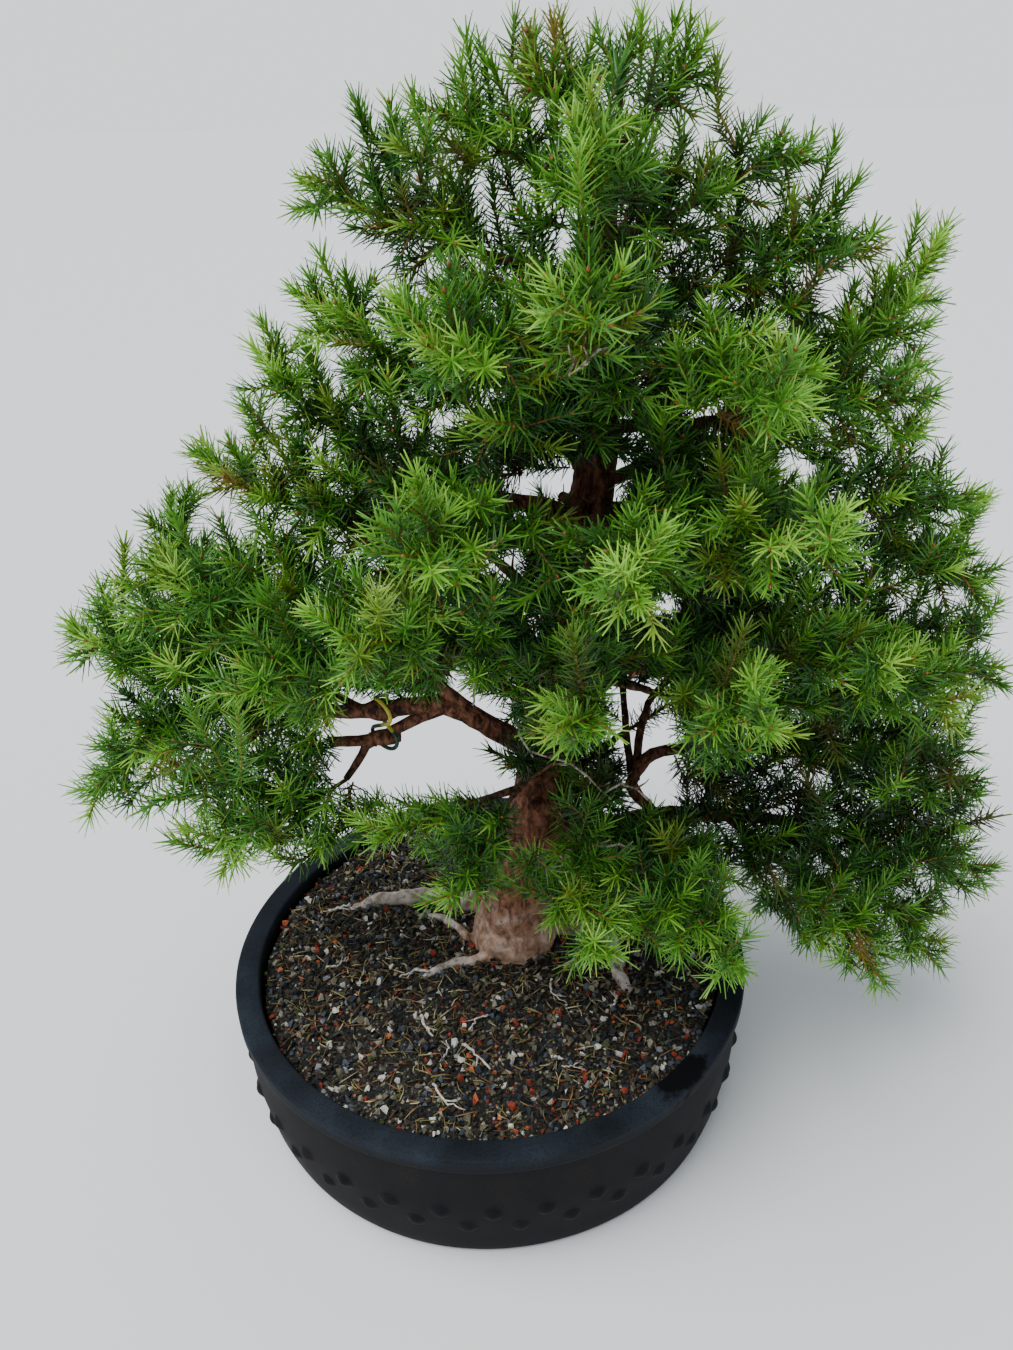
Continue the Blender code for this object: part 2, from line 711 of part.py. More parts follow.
def make_soil(grit):
    """The soil, with plain holes for the trunk's foot and the roots and room for the screens."""
    soil = new_object("soil", soil_block(), grit)
    foot = fuse("soil_hole", foot_pieces(spare=1.4 * GAP), None, (0, 0, 0))
    cutters = [foot] + [screen_pocket(name, x) for name, x in drain_places()]
    cut(soil, cutters)
    return soil


def trunk_piece(spare=0.0, below=None):
    """The trunk, slightly uneven like bark, or only its foot with room round it."""
    rng = random.Random(5)
    rows = [row for row in TRUNK if below is None or row[2] < below]
    points = [Vector(scaled(row[:3])) for row in rows]
    radii = [
        row[3] * MM * rng.uniform(1 - BARK_UNEVENNESS, 1 + BARK_UNEVENNESS) + spare
        for row in rows
    ]
    points[0] -= UP * spare
    return new_object("trunk_piece", tube(points, radii, TRUNK_SIDES))


def burl_piece(burl, spare):
    x, y, z, radius = burl
    mesh = bmesh.new()
    bmesh.ops.create_icosphere(mesh, subdivisions=1, radius=radius * MM + spare)
    bmesh.ops.translate(mesh, verts=mesh.verts, vec=scaled((x, y, z)))
    return new_object("burl_piece", mesh)


def root_piece(points, radius, spare):
    path = Path([scaled(point) for point in points])
    count = 2 + int(path.length / ROOT_RING_SPACING)
    places = path.between(0, path.length, count)
    radii = [
        radius * MM * (1 - ROOT_NARROWING * k / (count - 1)) + spare for k in range(count)
    ]
    places[-1] += path.direction(path.length) * spare
    return new_object("root_piece", tube(places, radii, 5))


def foot_pieces(spare=0.0):
    """The trunk's foot, its burls and its surface roots."""
    whole = [trunk_piece(spare, below=120)] if spare else [trunk_piece()]
    burls = [burl_piece(burl, spare) for burl in BURLS]
    roots = [root_piece(points, radius, spare) for points, radius in ROOTS]
    return whole + burls + roots


def make_trunk(plan, bark, clearance):
    """All the wood in one solid: the foot, the trunk, the branches, the stubs and the twigs."""
    pieces = foot_pieces()
    rows = [(Vector(scaled(row[:3])), row[3] * MM) for row in TRUNK]
    clearance.add_path([row[0] for row in rows], [row[1] for row in rows], "trunk")
    for name, (path, wood, radius) in plan.items():
        if wood <= 0:
            continue
        points, radii = wood_points(path, wood, radius)
        sides = 4 + (radius > THICK_BRANCH) + (radius > 1.5 * THICK_BRANCH)
        twig = tube(points, radii, sides, last=path.direction(wood))
        pieces.append(new_object(name + "_wood", twig))
        clearance.add_path(points, radii, "wood_" + name)
    for start, end, radius in STUBS:
        line = [Vector(scaled(start)), Vector(scaled(end))]
        pieces.append(new_object("stub_piece", tube(line, [radius * MM, 0.8 * radius * MM], 5)))
        clearance.add_path(line, [radius * MM, radius * MM], "trunk")
    return fuse("trunk", pieces, bark, scaled((TRUNK[0][0], TRUNK[0][1], SOIL_EDGE / MM)))


def make_spray(name, path, start, needles_green, clearance, rng):
    """One spray: a slim core with side shoots, and true-sized needles on all sides of them."""
    node = "spray_" + name
    core, radii, shoots = spray_lines(node, path, start, clearance, rng)
    needles = needle_lines(node, core, shoots, clearance, rng)
    turned = path.direction(start)
    pieces = [new_object("core_piece", tube(core, radii, 4, math.radians(45), first=turned))]
    for root, tip in shoots:
        ends = [BRANCHLET_RADIUS, (1 - BRANCHLET_NARROWING) * BRANCHLET_RADIUS]
        shoot = tube([root, tip], ends, 4, math.radians(45))
        pieces.append(new_object("shoot_piece", shoot))
    for root, tip in needles:
        pieces.append(new_object("needle_piece", tube([root, tip], [NEEDLE_RADIUS, 0], 3)))
    return fuse(node, pieces, needles_green, core[0])


def figure_of_eight(upper, lower, around_upper, around_lower, spread):
    """A crossed belt round two level bars, which drifts sideways so that it never meets itself."""
    apart = (upper - lower).length
    wrap = math.acos((around_upper + around_lower) / apart)
    turns = np.linspace(0, 1, 8)
    down = -math.pi / 2
    first = [down + wrap + turn * (2 * math.pi - 2 * wrap) for turn in turns]
    second = [-down - wrap - turn * (2 * math.pi - 2 * wrap) for turn in turns]
    half = len(first) // 2
    route = [(upper, around_upper, angle) for angle in first[half:]]
    route += [(lower, around_lower, angle) for angle in second]
    route += [(upper, around_upper, angle) for angle in first[:half]]
    points = []
    for k, (middle, reach, angle) in enumerate(route):
        drift = spread * (k / (len(route) - 1) - 0.5)
        across = Vector((drift, math.cos(angle) * reach, math.sin(angle) * reach))
        points.append(middle + across)
    return points


def wire_curve(name, points, radius, finish):
    """A round wire of one thickness, with closed ends."""
    curve = bpy.data.curves.new(name, "CURVE")
    curve.dimensions = "3D"
    curve.bevel_depth = radius
    curve.bevel_resolution = 1
    curve.use_fill_caps = True
    spline = curve.splines.new("POLY")
    spline.points.add(len(points) - 1)
    for place, point in zip(spline.points, points):
        place.co = (*point, 1)
    curve.materials.append(finish)
    wire = bpy.data.objects.new(name, curve)
    bpy.context.scene.collection.objects.link(wire)
    return wire


def make_tie(plastic, clearance):
    """The covered wire that holds the low left branch and its lower fork together."""
    upper = Vector(scaled(TIE_UPPER))
    lower = Vector(scaled(TIE_LOWER))
    points = figure_of_eight(upper, lower, *TIE_REACHES, TIE_DRIFT)
    clearance.add_path(points, [TIE_RADIUS] * len(points), "branch_tie")
    return wire_curve("branch_tie", points, TIE_RADIUS, plastic)


def make_training_wire(plan, copper, clearance):
    """Wire wound on the thin branch right of the trunk, with a free end that starts the coil."""
    path, wood, radius = plan["wired"]
    line, _ = wood_points(path, wood, radius)
    points = []
    count = WIRE_STEPS_PER_TURN * WIRE_TURNS
    for k in range(count + 1):
        share = WIRE_STARTS + (WIRE_ENDS - WIRE_STARTS) * k / count
        place, along, _ = on_line(line, share)
        side = along.cross(UP).normalized()
        over = side.cross(along)
        turn = math.radians(40) + 2 * math.pi * WIRE_TURNS * k / count
        reach = wood_radius(radius, share) + WIRE_RADIUS + WIRE_ROOM
        points.append(place + (side * math.cos(turn) + over * math.sin(turn)) * reach)
    free = points[0] + Vector(scaled((-7, -3, 4)))
    points = [free + Vector(scaled((-6, -1, -1))), free] + points
    clearance.add_path(points, [WIRE_RADIUS] * len(points), "training_wire")
    return wire_curve("training_wire", points, WIRE_RADIUS, copper)


def main():
    for obj in list(bpy.data.objects):
        bpy.data.objects.remove(obj)
    stoneware = material("stoneware", (0.022, 0.022, 0.026), 0.55)
    grit = material("grit", (0.09, 0.07, 0.055), 0.9)
    bark = material("bark", (0.11, 0.065, 0.045), 0.85)
    needles_green = material("needles", (0.08, 0.24, 0.03), 0.5)
    plastic = material("screen_plastic", (0.02, 0.02, 0.02), 0.6)
    tie_plastic = material("tie_plastic", (0.62, 0.55, 0.06), 0.4)
    copper = material("wire_metal", (0.35, 0.14, 0.07), 0.4, 0.8)

    clearance = Clearance()
    plan = branch_paths()
    made = [make_pot(stoneware), make_soil(grit)]
    made += [make_screen(name, x, plastic) for name, x in drain_places()]
    made.append(make_trunk(plan, bark, clearance))
    made.append(make_tie(tie_plastic, clearance))
    made.append(make_training_wire(plan, copper, clearance))
    for rank, (name, (path, wood, radius)) in enumerate(plan.items()):
        rng = random.Random(1000 + rank)
        made.append(make_spray(name, path, wood + GAP, needles_green, clearance, rng))

    whole = bpy.data.objects.new("bonsai", None)
    bpy.context.scene.collection.objects.link(whole)
    for obj in made:
        obj.parent = whole


main()
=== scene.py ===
"""The look of a spruce bonsai in a round stoneware drum pot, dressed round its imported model.

Metres, +Z up, the tree's front at -Y. The tree's plan is the one in the part's source.
"""

import math
import random
from collections import namedtuple

import bmesh
import bpy
import numpy as np
from mathutils import Matrix, Vector, noise
from mathutils.kdtree import KDTree

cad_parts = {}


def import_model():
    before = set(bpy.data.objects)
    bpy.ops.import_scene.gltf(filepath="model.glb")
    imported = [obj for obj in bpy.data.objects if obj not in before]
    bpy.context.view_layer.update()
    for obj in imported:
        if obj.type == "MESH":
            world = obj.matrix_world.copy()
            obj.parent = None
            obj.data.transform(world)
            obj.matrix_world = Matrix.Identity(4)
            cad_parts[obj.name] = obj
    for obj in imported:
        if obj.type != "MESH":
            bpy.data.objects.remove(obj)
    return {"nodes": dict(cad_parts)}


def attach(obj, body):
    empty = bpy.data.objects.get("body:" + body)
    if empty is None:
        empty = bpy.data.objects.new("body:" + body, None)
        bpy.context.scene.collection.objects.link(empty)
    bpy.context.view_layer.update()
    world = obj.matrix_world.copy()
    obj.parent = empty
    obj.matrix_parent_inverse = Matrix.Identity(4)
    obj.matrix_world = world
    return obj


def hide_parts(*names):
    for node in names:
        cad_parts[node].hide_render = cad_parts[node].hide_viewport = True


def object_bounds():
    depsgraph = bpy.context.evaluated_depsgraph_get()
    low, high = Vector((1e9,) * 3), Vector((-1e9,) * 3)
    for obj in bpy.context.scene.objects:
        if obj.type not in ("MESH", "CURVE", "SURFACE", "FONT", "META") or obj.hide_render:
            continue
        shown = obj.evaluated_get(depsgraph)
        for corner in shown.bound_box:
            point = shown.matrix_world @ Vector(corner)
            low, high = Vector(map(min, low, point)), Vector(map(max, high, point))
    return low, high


MM = 0.001
GAP = 0.3 * MM
UP = Vector((0, 0, 1))

# Pot
RIM_RADIUS = 140 * MM
POT_HEIGHT = 78 * MM
RIM_WIDTH = 13 * MM
LIP_HEIGHT = 8 * MM
BODY_RADIUS = 137.6 * MM
BASE_RADIUS = 130 * MM
FLOOR = 8 * MM
POT_STEPS = 204
BOSS_COUNT = 34
BOSS_ROWS = (26.5 * MM, 37.5 * MM)
BOSS_RADIUS = 4.9 * MM
BOSS_PROUD = 2.0 * MM
DARK_PATCH_TURN = math.radians(46)
DARK_PATCH_PLACE = (133 * MM * math.cos(DARK_PATCH_TURN), -133 * MM * math.sin(DARK_PATCH_TURN), 77 * MM)

# Soil
SOIL_EDGE = 70 * MM
SOIL_MOUND = 6 * MM
GRAIN_PITCH = 3.1 * MM
GRAIN_ROW = 0.866 * GRAIN_PITCH
GRAIN_SHAPES = 9
GRAIN_CORNERS = 8
LITTER_COUNT = 1500
FIBRE_COUNT = 9

# Trunk: x, y, z and radius in millimetres, from the root ball up
TRUNK = (
    (13, 8, 34, 17),
    (13, 8, 62, 24),
    (13, 7, 76, 23),
    (14, 6, 90, 21.5),
    (17, 4, 106, 17.5),
    (21, 2, 128, 15),
    (29, 0, 178, 13.6),
    (36, -1, 225, 12.6),
    (43, 0, 272, 11.4),
    (53, 0, 330, 10),
    (58, 1, 372, 7.6),
    (58, 2, 412, 5.8),
    (59, 1, 450, 4.2),
    (61, 0, 476, 2.8),
    (63, 0, 488, 1.5),
)
BURLS = ((5, -3, 84, 12), (23, 1, 82, 13), (12, 20, 80, 13))

# Short wood that carries no spray: start, end and radius
STUBS = (
    ((-50, -11, 220.5), (-73, -10, 220), 3.2),
    ((52, -8, 334), (40, -19, 344), 3.0),
    ((30, -8, 182), (24, -25, 188), 2.6),
    ((92, 2, 158), (104, -14, 170), 2.0),
)

# Surface roots: the points that each passes through, and its radius at the trunk
ROOTS = (
    (((8, 22, 84), (-14, 34, 80), (-36, 40, 78), (-60, 42, 76), (-84, 38, 70)), 7.0),
    (((4, 0, 80), (-12, 5, 78), (-24, 20, 77), (-36, 26, 75.5), (-47, 22, 71)), 3.0),
    (((6, -8, 80), (-7, -12, 77), (-20, -14, 76.5), (-33, -20, 75), (-50, -29, 70)), 3.4),
    (((22, 6, 80), (46, 12, 78), (66, 4, 77), (69, -14, 76.5), (71, -30, 74), (80, -38, 69)), 6.6),
    (((16, 20, 82), (28, 44, 77), (34, 66, 75), (52, 84, 69)), 5.6),
)
ROOT_NARROWING = 0.5

Branch = namedtuple("Branch", "name leaves radius bends tip")

# Branches in millimetres. A branch leaves the trunk at a height, or another branch at a share of
# its length. The tip is the end of the spray that it carries.
BRANCHES = (
    Branch("right_low", 152, 6.4, ((72, 0, 158), (112, 6, 158), (170, 6, 148)), (264, 0, 118)),
    Branch("right_low_front", ("right_low", 0.42), 2.6, (), (196, -52, 98)),
    Branch("right_low_outer", ("right_low", 0.56), 2.4, (), (236, -18, 78)),
    Branch("fork_right", ("right_low", 0.27), 3.6,
           ((76, 4, 180), (84, 8, 193), (120, 14, 195)), (256, 38, 172)),
    Branch("fork_back_right", ("fork_right", 0.13), 2.4, ((90, 36, 212),), (178, 112, 250)),
    Branch("fork_back", ("fork_right", 0.10), 2.2, ((76, 40, 208),), (82, 132, 240)),
    Branch("front_right_low", 158, 3.2, ((62, -30, 172),), (112, -96, 148)),
    Branch("front_low", 182, 3.0, ((40, -34, 186),), (50, -92, 152)),
    Branch("front_left_low", 196, 3.0, ((18, -30, 204),), (-14, -84, 178)),
    Branch("front_left_inner", ("front_left_low", 0.30), 2.0, (), (-48, -52, 192)),
    Branch("back_low_right", 166, 3.4, ((58, 36, 176),), (132, 118, 172)),
    Branch("back_low_left", 214, 3.2, ((10, 40, 224),), (-52, 124, 222)),

    Branch("left_low", 200, 6.2, ((4, -6, 224), (-16, -10, 239), (-38, -10, 238),
                                  (-54, -10, 236), (-74, -9, 238), (-118, -2, 248)),
           (-188, 0, 278)),
    Branch("left_low_drop", ("left_low", 0.262), 3.4,
           ((-41, -10.5, 226), (-47, -11, 221.5), (-55, -11, 219), (-58, -11, 211),
            (-66, -12, 200), (-84, -15, 190)), (-132, -46, 182)),
    Branch("left_low_outer", ("left_low", 0.55), 2.4, ((-140, -14, 236),), (-184, -30, 208)),
    Branch("left_low_rise", ("left_low", 0.50), 2.2, ((-128, 10, 270),), (-138, 20, 328)),
    Branch("left_low_back", ("left_low", 0.42), 2.4, ((-106, 24, 250),), (-142, 66, 262)),
    Branch("left_low_fork", ("left_low", 0.16), 4.0, ((-34, -11, 266), (-56, -14, 284)),
           (-132, -26, 312)),
    Branch("left_low_front", ("left_low_fork", 0.40), 2.4, (), (-96, -74, 284)),

    Branch("front_left_mid", 258, 3.4, ((22, -36, 282),), (-44, -112, 326)),
    Branch("front_mid", 262, 3.2, ((42, -40, 280),), (44, -124, 292)),
    Branch("front_right_mid", 250, 3.4, ((66, -36, 262),), (112, -118, 286)),
    Branch("wired", 244, 3.2, ((66, -22, 261), (96, -29, 263), (118, -32, 269)), (172, -62, 280)),
    Branch("right_mid", 268, 4.4, ((98, 2, 268), (160, 8, 258)), (250, 14, 238)),
    Branch("right_mid_front", ("right_mid", 0.42), 2.4, (), (208, -58, 256)),
    Branch("back_mid", 280, 3.6, ((50, 52, 284),), (62, 142, 292)),
    Branch("back_left_mid", 270, 3.4, ((10, 40, 292),), (-66, 112, 322)),
    Branch("back_right_mid", 284, 3.6, ((88, 44, 290),), (186, 110, 298)),

    Branch("left_mid", 322, 5.2, ((32, -3, 334), (6, -8, 340), (-28, -10, 334), (-50, -10, 328)),
           (-110, -2, 356)),
    Branch("left_mid_rise", ("left_mid", 0.40), 2.6, ((-40, 6, 352),), (-88, 22, 396)),
    Branch("front_left_high", 316, 3.4, ((30, -40, 332),), (-18, -124, 362)),
    Branch("front_high", 326, 3.2, ((56, -44, 340),), (58, -134, 346)),
    Branch("front_right_high", 332, 3.4, ((80, -36, 342),), (130, -112, 352)),
    Branch("right_high", 326, 4.0, ((98, -1, 330), (150, 2, 326)), (242, 26, 276)),
    Branch("right_high_rise", ("right_high", 0.50), 2.4, ((188, 4, 330),), (228, 12, 324)),
    Branch("back_high", 338, 3.2, ((46, 46, 348),), (26, 130, 364)),
    Branch("back_right_high", 340, 3.2, ((92, 36, 346),), (166, 100, 364)),

    Branch("right_upper", 368, 3.2, ((104, 2, 368), (152, 12, 378)), (196, 22, 424)),
    Branch("right_upper_low", ("right_upper", 0.45), 2.2, (), (192, -10, 378)),
    Branch("left_upper", 378, 2.8, ((18, -4, 388), (-24, -6, 398)), (-60, -4, 424)),
    Branch("front_left_upper", 380, 2.6, ((38, -34, 396),), (-10, -98, 424)),
    Branch("front_upper", 386, 2.6, ((56, -38, 402),), (42, -106, 432)),
    Branch("front_right_upper", 378, 2.6, ((82, -32, 388),), (112, -100, 404)),
    Branch("back_upper", 392, 2.6, ((60, 40, 398),), (62, 106, 414)),

    Branch("left_top", 422, 2.4, ((26, -2, 434),), (-50, 0, 462)),
    Branch("right_top", 414, 2.4, ((98, 4, 420),), (162, 16, 438)),
    Branch("front_top", 438, 2.0, ((54, -22, 452),), (46, -64, 478)),
    Branch("back_top", 436, 2.0, ((68, 26, 444),), (80, 72, 458)),
    Branch("right_crest", 442, 1.9, ((84, 2, 450),), (134, 12, 470)),
    Branch("left_crest", 456, 1.8, ((40, -2, 464),), (0, 2, 486)),
    Branch("leader_left", 472, 1.6, ((50, -2, 482),), (30, -8, 504)),
    Branch("leader_right", 474, 1.6, ((74, 0, 484),), (92, 2, 504)),
)
LEADER_TIP = (66, 0, 512)
THICK_BRANCH = 3.3 * MM
THICK_RING_SPACING = 25 * MM
THIN_RING_SPACING = 52 * MM

# Sprays
SPRAY_LENGTH = 78 * MM
SPRAY_SHARE = 0.60
TWIG_RADIUS = 1.6 * MM
CORE_RINGS = 3
BRANCHLETS = 4
BRANCHLET_SHARE = 0.44
NEEDLE_LENGTH = 11.6 * MM
NEEDLE_WIDTH = 0.9 * MM
NEEDLE_SPACING = 0.555 * MM

# Stem radius and age of each kind of shoot, where age runs from this year's wood to old wood
CORE_STEM = (1.3 * MM, 0.55)
SIDE_STEM = (0.72 * MM, 0.42)
SMALL_STEM = (0.55 * MM, 0.34)
INNER_STEM = (0.7 * MM, 0.7)
RISING_STEM = (0.68 * MM, 0.16)
LONG_STEM = (0.75 * MM, 0.12)
FILL_STEM = (0.6 * MM, 0.36)

# How shoots are set: turn from one to the next, spacing, shortest lengths, and where they fork
SPIRAL_TURN = 2.4
SIDE_SPACING = 8.5 * MM
SIDE_SHORTEST = 10 * MM
SMALL_SHORTEST = 11 * MM
FORKS_FROM = 17 * MM
FORKS_TWICE_FROM = 24 * MM
INNER_SPACING = 8 * MM
RISING_COUNT = 3

# Starts of the random draws. The first is the one that the part's source uses.
SOLID_SEED = 1000
SIDE_SEED = 4000
INNER_SEED = 7000
RISING_SEED = 9000
NEEDLE_SEED = 100

# What shoots keep clear of: the CAD's box, the trunk, the soil, the rim and the ground
BOX_MARGIN = 4.5 * MM
TRUNK_MARGIN = 3 * MM
SOIL_MARGIN = 9 * MM
RIM_MARGIN = 8 * MM
GROUND_MARGIN = 12 * MM

# The crown's outline, and the shoots that fill its gaps
CROWN_AXIS = 45 * MM
CROWN_REACH = 34 * MM
CROWN_TAPER = 0.45
CROWN_TIP = 8 * MM
CROWN_STARTS = 0.36
LEADER_STEPS = 12
LEADER_REACH = 22 * MM
FILL_PITCH = 10.8 * MM
FILL_CLEAR = 7.9 * MM
FILL_SHORTEST = 14 * MM
FILL_REACH = 44 * MM
FILL_BATCH = 250
FILL_NEAREST = 30

# Greens: a shoot's tone at the outside, what depth (painted shade deep in the crown) and height
# take off, and how shoots differ
OUTER_TONE = 0.61
DEPTH_SHADE = 0.48
DARKEST_DEPTH = 95 * MM
HEIGHT_DARKENS = 0.03
TONE_SPREAD = 0.13
BURST_SHARE = 0.22
BURST_TONE = 0.24
YELLOW_SHARE = 0.10
DEAD_SHARE = 0.006

# Full parts of the crown between the branches: middle and radius in millimetres
FULL_PARTS = (
    (-28, 0, 466, 17), (-8, 0, 474, 20), (10, -2, 484, 19), (26, 0, 490, 17),
    (-156, -4, 298, 18), (-141, -20, 300, 22), (-112, -25, 306, 26), (-120, -30, 288, 22),
    (-160, -28, 214, 17), (-145, -30, 240, 20), (-126, -40, 230, 24), (-110, -40, 202, 22),
    (-86, -36, 214, 18),
    (37, 0, 498, 13), (55, 0, 500, 12), (80, 0, 502, 12), (93, 0, 486, 15), (102, 0, 463, 17),
    (79, 0, 472, 17), (119, 0, 470, 13), (131, 0, 450, 15), (152, 0, 436, 15), (120, 10, 440, 18),
    (178, 0, 409, 17), (190, 10, 390, 19), (174, 0, 390, 20), (163, 0, 361, 22), (188, 0, 352, 21),
    (169, 0, 332, 22), (182, 0, 302, 23), (208, 0, 290, 23), (222, 0, 272, 22), (202, 0, 260, 24),
    (222, -5, 246, 22), (210, -20, 198, 23), (236, -10, 178, 23), (228, -10, 150, 23),
    (242, -8, 118, 20), (218, -8, 112, 20),
    (-11, -16, 470, 17), (-13, 16, 468, 17), (-22, 10, 484, 13), (13, -16, 476, 17),
    (13, 18, 475, 17), (4, 12, 487, 14), (-83, -8, 385, 15), (-87, 12, 380, 15), (44, 14, 507, 13),
    (29, 12, 505, 12),
    (128, 16, 454, 15), (130, -14, 429, 15), (138, 18, 424, 15), (200, -30, 206, 15),
    (165, -34, 210, 16),
)

# Dead twigs with pale lichen that the photo shows: start and end in millimetres
PALE_TWIGS = (
    ((38, -100, 412), (47, -100, 421)), ((18, -45, 242), (40, -45, 227)),
    ((40, -45, 227), (61, -45, 205)), ((63, -50, 217), (77, -50, 208)),
    ((133, -70, 349), (133, -70, 339)), ((54, -60, 191), (73, -60, 187)),
    ((209, 20, 344), (199, 20, 338)),
)

# Single long shoots that the photo shows: start and end in millimetres
LONG_SHOOTS = (
    ((-147, 15, 292), (-135, 15, 340)), ((-165, -5, 275), (-154, -5, 323)),
    ((-113, -50, 225), (-124, -50, 268)), ((-107, -50, 227), (-102, -50, 273)),
    ((-170, 0, 263), (-190, 0, 282)), ((-167, -30, 209), (-191, -30, 210)),
    ((179, 15, 405), (197, 15, 436)), ((143, 10, 437), (159, 10, 461)),
    ((128, 10, 458), (139, 10, 476)), ((83, 0, 487), (88, 0, 515)),
    ((70, 0, 494), (70, 0, 518)), ((101, 0, 480), (98, 0, 502)),
    ((29, 0, 488), (29, 0, 513)), ((44, -80, 452), (41, -80, 478)),
    ((7, 0, 482), (4, 0, 505)), ((-9, 0, 476), (-14, 0, 495)),
    ((-24, 0, 470), (-34, 0, 490)), ((-41, 0, 458), (-59, 0, 467)),
    ((-54, 0, 412), (-67, 0, 427)), ((-71, 10, 381), (-89, 10, 405)),
    ((-97, 0, 349), (-116, 0, 363)), ((221, 30, 367), (210, 30, 398)),
    ((236, 30, 299), (244, 30, 319)), ((246, 20, 249), (256, 20, 270)),
    ((252, 20, 202), (261, 20, 234)), ((252, 20, 138), (269, 20, 157)),
    ((241, 0, 113), (269, 0, 109)), ((229, 0, 99), (242, 0, 66)),
    ((161, -30, 128), (174, -30, 99)), ((97, -85, 166), (109, -85, 142)),
    ((-58, -16, 219), (-62, -22, 204)), ((-64, -14, 220), (-76, -20, 210)),
    ((-62, -6, 221), (-82, -4, 216)), ((-66, -12, 222), (-80, -14, 229)),
)

# Views past the foliage that stay open, as corners in the photo's pixels
OPEN_WINDOWS = (
    ((328, 690), (505, 800)), ((505, 770), (560, 850)), ((500, 474), (566, 514)),
    ((562, 466), (630, 536)), ((478, 550), (530, 578)), ((594, 450), (626, 474)),
    ((612, 420), (644, 442)), ((692, 394), (732, 430)), ((766, 462), (812, 494)),
    ((638, 592), (678, 622)), ((604, 672), (684, 752)), ((622, 754), (682, 810)),
    ((440, 660), (470, 700)), ((545, 225), (585, 262)), ((605, 190), (634, 228)),
    ((495, 186), (545, 212)), ((748, 908), (782, 948)), ((746, 40), (806, 112)),
    ((938, 350), (975, 450)),
)

# Wires
TIE_RADIUS = 1.0 * MM
TIE_UPPER = (-46, -10, 237)
TIE_LOWER = (-46, -11, 222)
TIE_REACHES = (7.0 * MM, 5.6 * MM)
TIE_DRIFT = 7.0 * MM
TIE_YAW = 0.95
WIRE_RADIUS = 0.9 * MM
WIRE_TURNS = 3
WIRE_STARTS = 0.42
WIRE_ENDS = 0.96
WIRE_ROOM = 0.7 * MM
TIE_BANDS = 17

# Wood
SKIN_VOXEL = 1.35 * MM
BARK_SCALE = 4.2 * MM
BARK_CRUMB = 1.7 * MM
FOOT_LUMP = 9 * MM
BARK_RING = 5.0 * MM
FOOT_TOP = 0.118
FOOT_FADE = 0.030
THIN_STARTS = 0.40
THIN_FADE = 0.08

# Camera, fitted to the rim's ellipse in the photo, and the photo's size in pixels
PHOTO_WIDTH = 1013
PHOTO_HEIGHT = 1350
SENSOR_HEIGHT = 36
CAMERA_PLACE = (0.014, -0.446, 0.4925)
CAMERA_PITCH = 28.7
CAMERA_ROLL = -1.82
CAMERA_LENS = 28.08


# Node trees

def linear(code):
    """An sRGB hex value as the linear colour that a shader takes."""
    values = [int(code[k:k + 2], 16) / 255 for k in (1, 3, 5)]
    return (*[v / 12.92 if v <= 0.04045 else ((v + 0.055) / 1.055) ** 2.4 for v in values], 1.0)


def feed(node, inputs):
    """Sets a node's inputs to values or links them. A node stands for its first live output."""
    for name, value in inputs.items():
        if isinstance(value, bpy.types.Node):
            value = next(socket for socket in value.outputs if socket.enabled)
        if isinstance(value, bpy.types.NodeSocket):
            node.id_data.links.new(value, node.inputs[name])
        else:
            node.inputs[name].default_value = value


def add(tree, kind, inputs=None, stops=(), **settings):
    """One node: its settings, its inputs, and a ramp's stops as places and colours."""
    node = tree.nodes.new(kind)
    for name, value in settings.items():
        setattr(node, name, value)
    feed(node, inputs or {})
    for k, (place, code) in enumerate(stops):
        ramp = node.color_ramp.elements
        stop = ramp[k] if k < len(ramp) else ramp.new(place)
        stop.position = place
        stop.color = linear(code)
    return node


def finish_of(name, roughness, metallic=0.0, specular=0.5):
    """A new material, its node tree and its Principled shader."""
    made = bpy.data.materials.new(name)
    made.use_nodes = True
    shader = made.node_tree.nodes["Principled BSDF"]
    feed(shader, {"Roughness": roughness, "Metallic": metallic, "Specular IOR Level": specular})
    return made, made.node_tree, shader


# Finishes

def spruce_needle():
    """Spruce needle: a waxy green spike. Light tips, and painted shade that darkens needles deep in
    the crown, give the tree depth.
    """
    made, tree, shader = finish_of("spruce_needle", 0.38)
    tone, vary, share, blue, dead = [
        add(tree, "ShaderNodeAttribute", attribute_name=name).outputs["Fac"]
        for name in ("tone", "vary", "needle_share", "blue", "dead")
    ]
    spread = add(tree, "ShaderNodeMath", {0: vary, 1: 0.26, 2: -0.13}, operation="MULTIPLY_ADD")
    shifted = add(tree, "ShaderNodeMath", {0: tone, 1: spread}, operation="ADD")
    lifted = add(tree, "ShaderNodeMath", {0: share, 1: 0.16, 2: shifted},
                 operation="MULTIPLY_ADD", use_clamp=True)
    green = add(tree, "ShaderNodeValToRGB", {0: lifted}, stops=(
        (0.0, "#0E2205"), (0.28, "#22480C"), (0.50, "#3E7A18"), (0.74, "#72B42C"), (1.0, "#B6E65E"),
    ))
    coat = green
    for mask, over in ((blue, "#2F7C50"), (dead, "#96662E")):
        coat = add(tree, "ShaderNodeMix", {0: mask, 6: coat, 7: linear(over)}, data_type="RGBA")
    feed(shader, {"Base Color": coat})
    glow = add(tree, "ShaderNodeBsdfTranslucent", {"Color": coat})
    both = add(tree, "ShaderNodeMixShader", {0: 0.22, 1: shader, 2: glow})
    feed(tree.nodes["Material Output"], {"Surface": both})
    return made


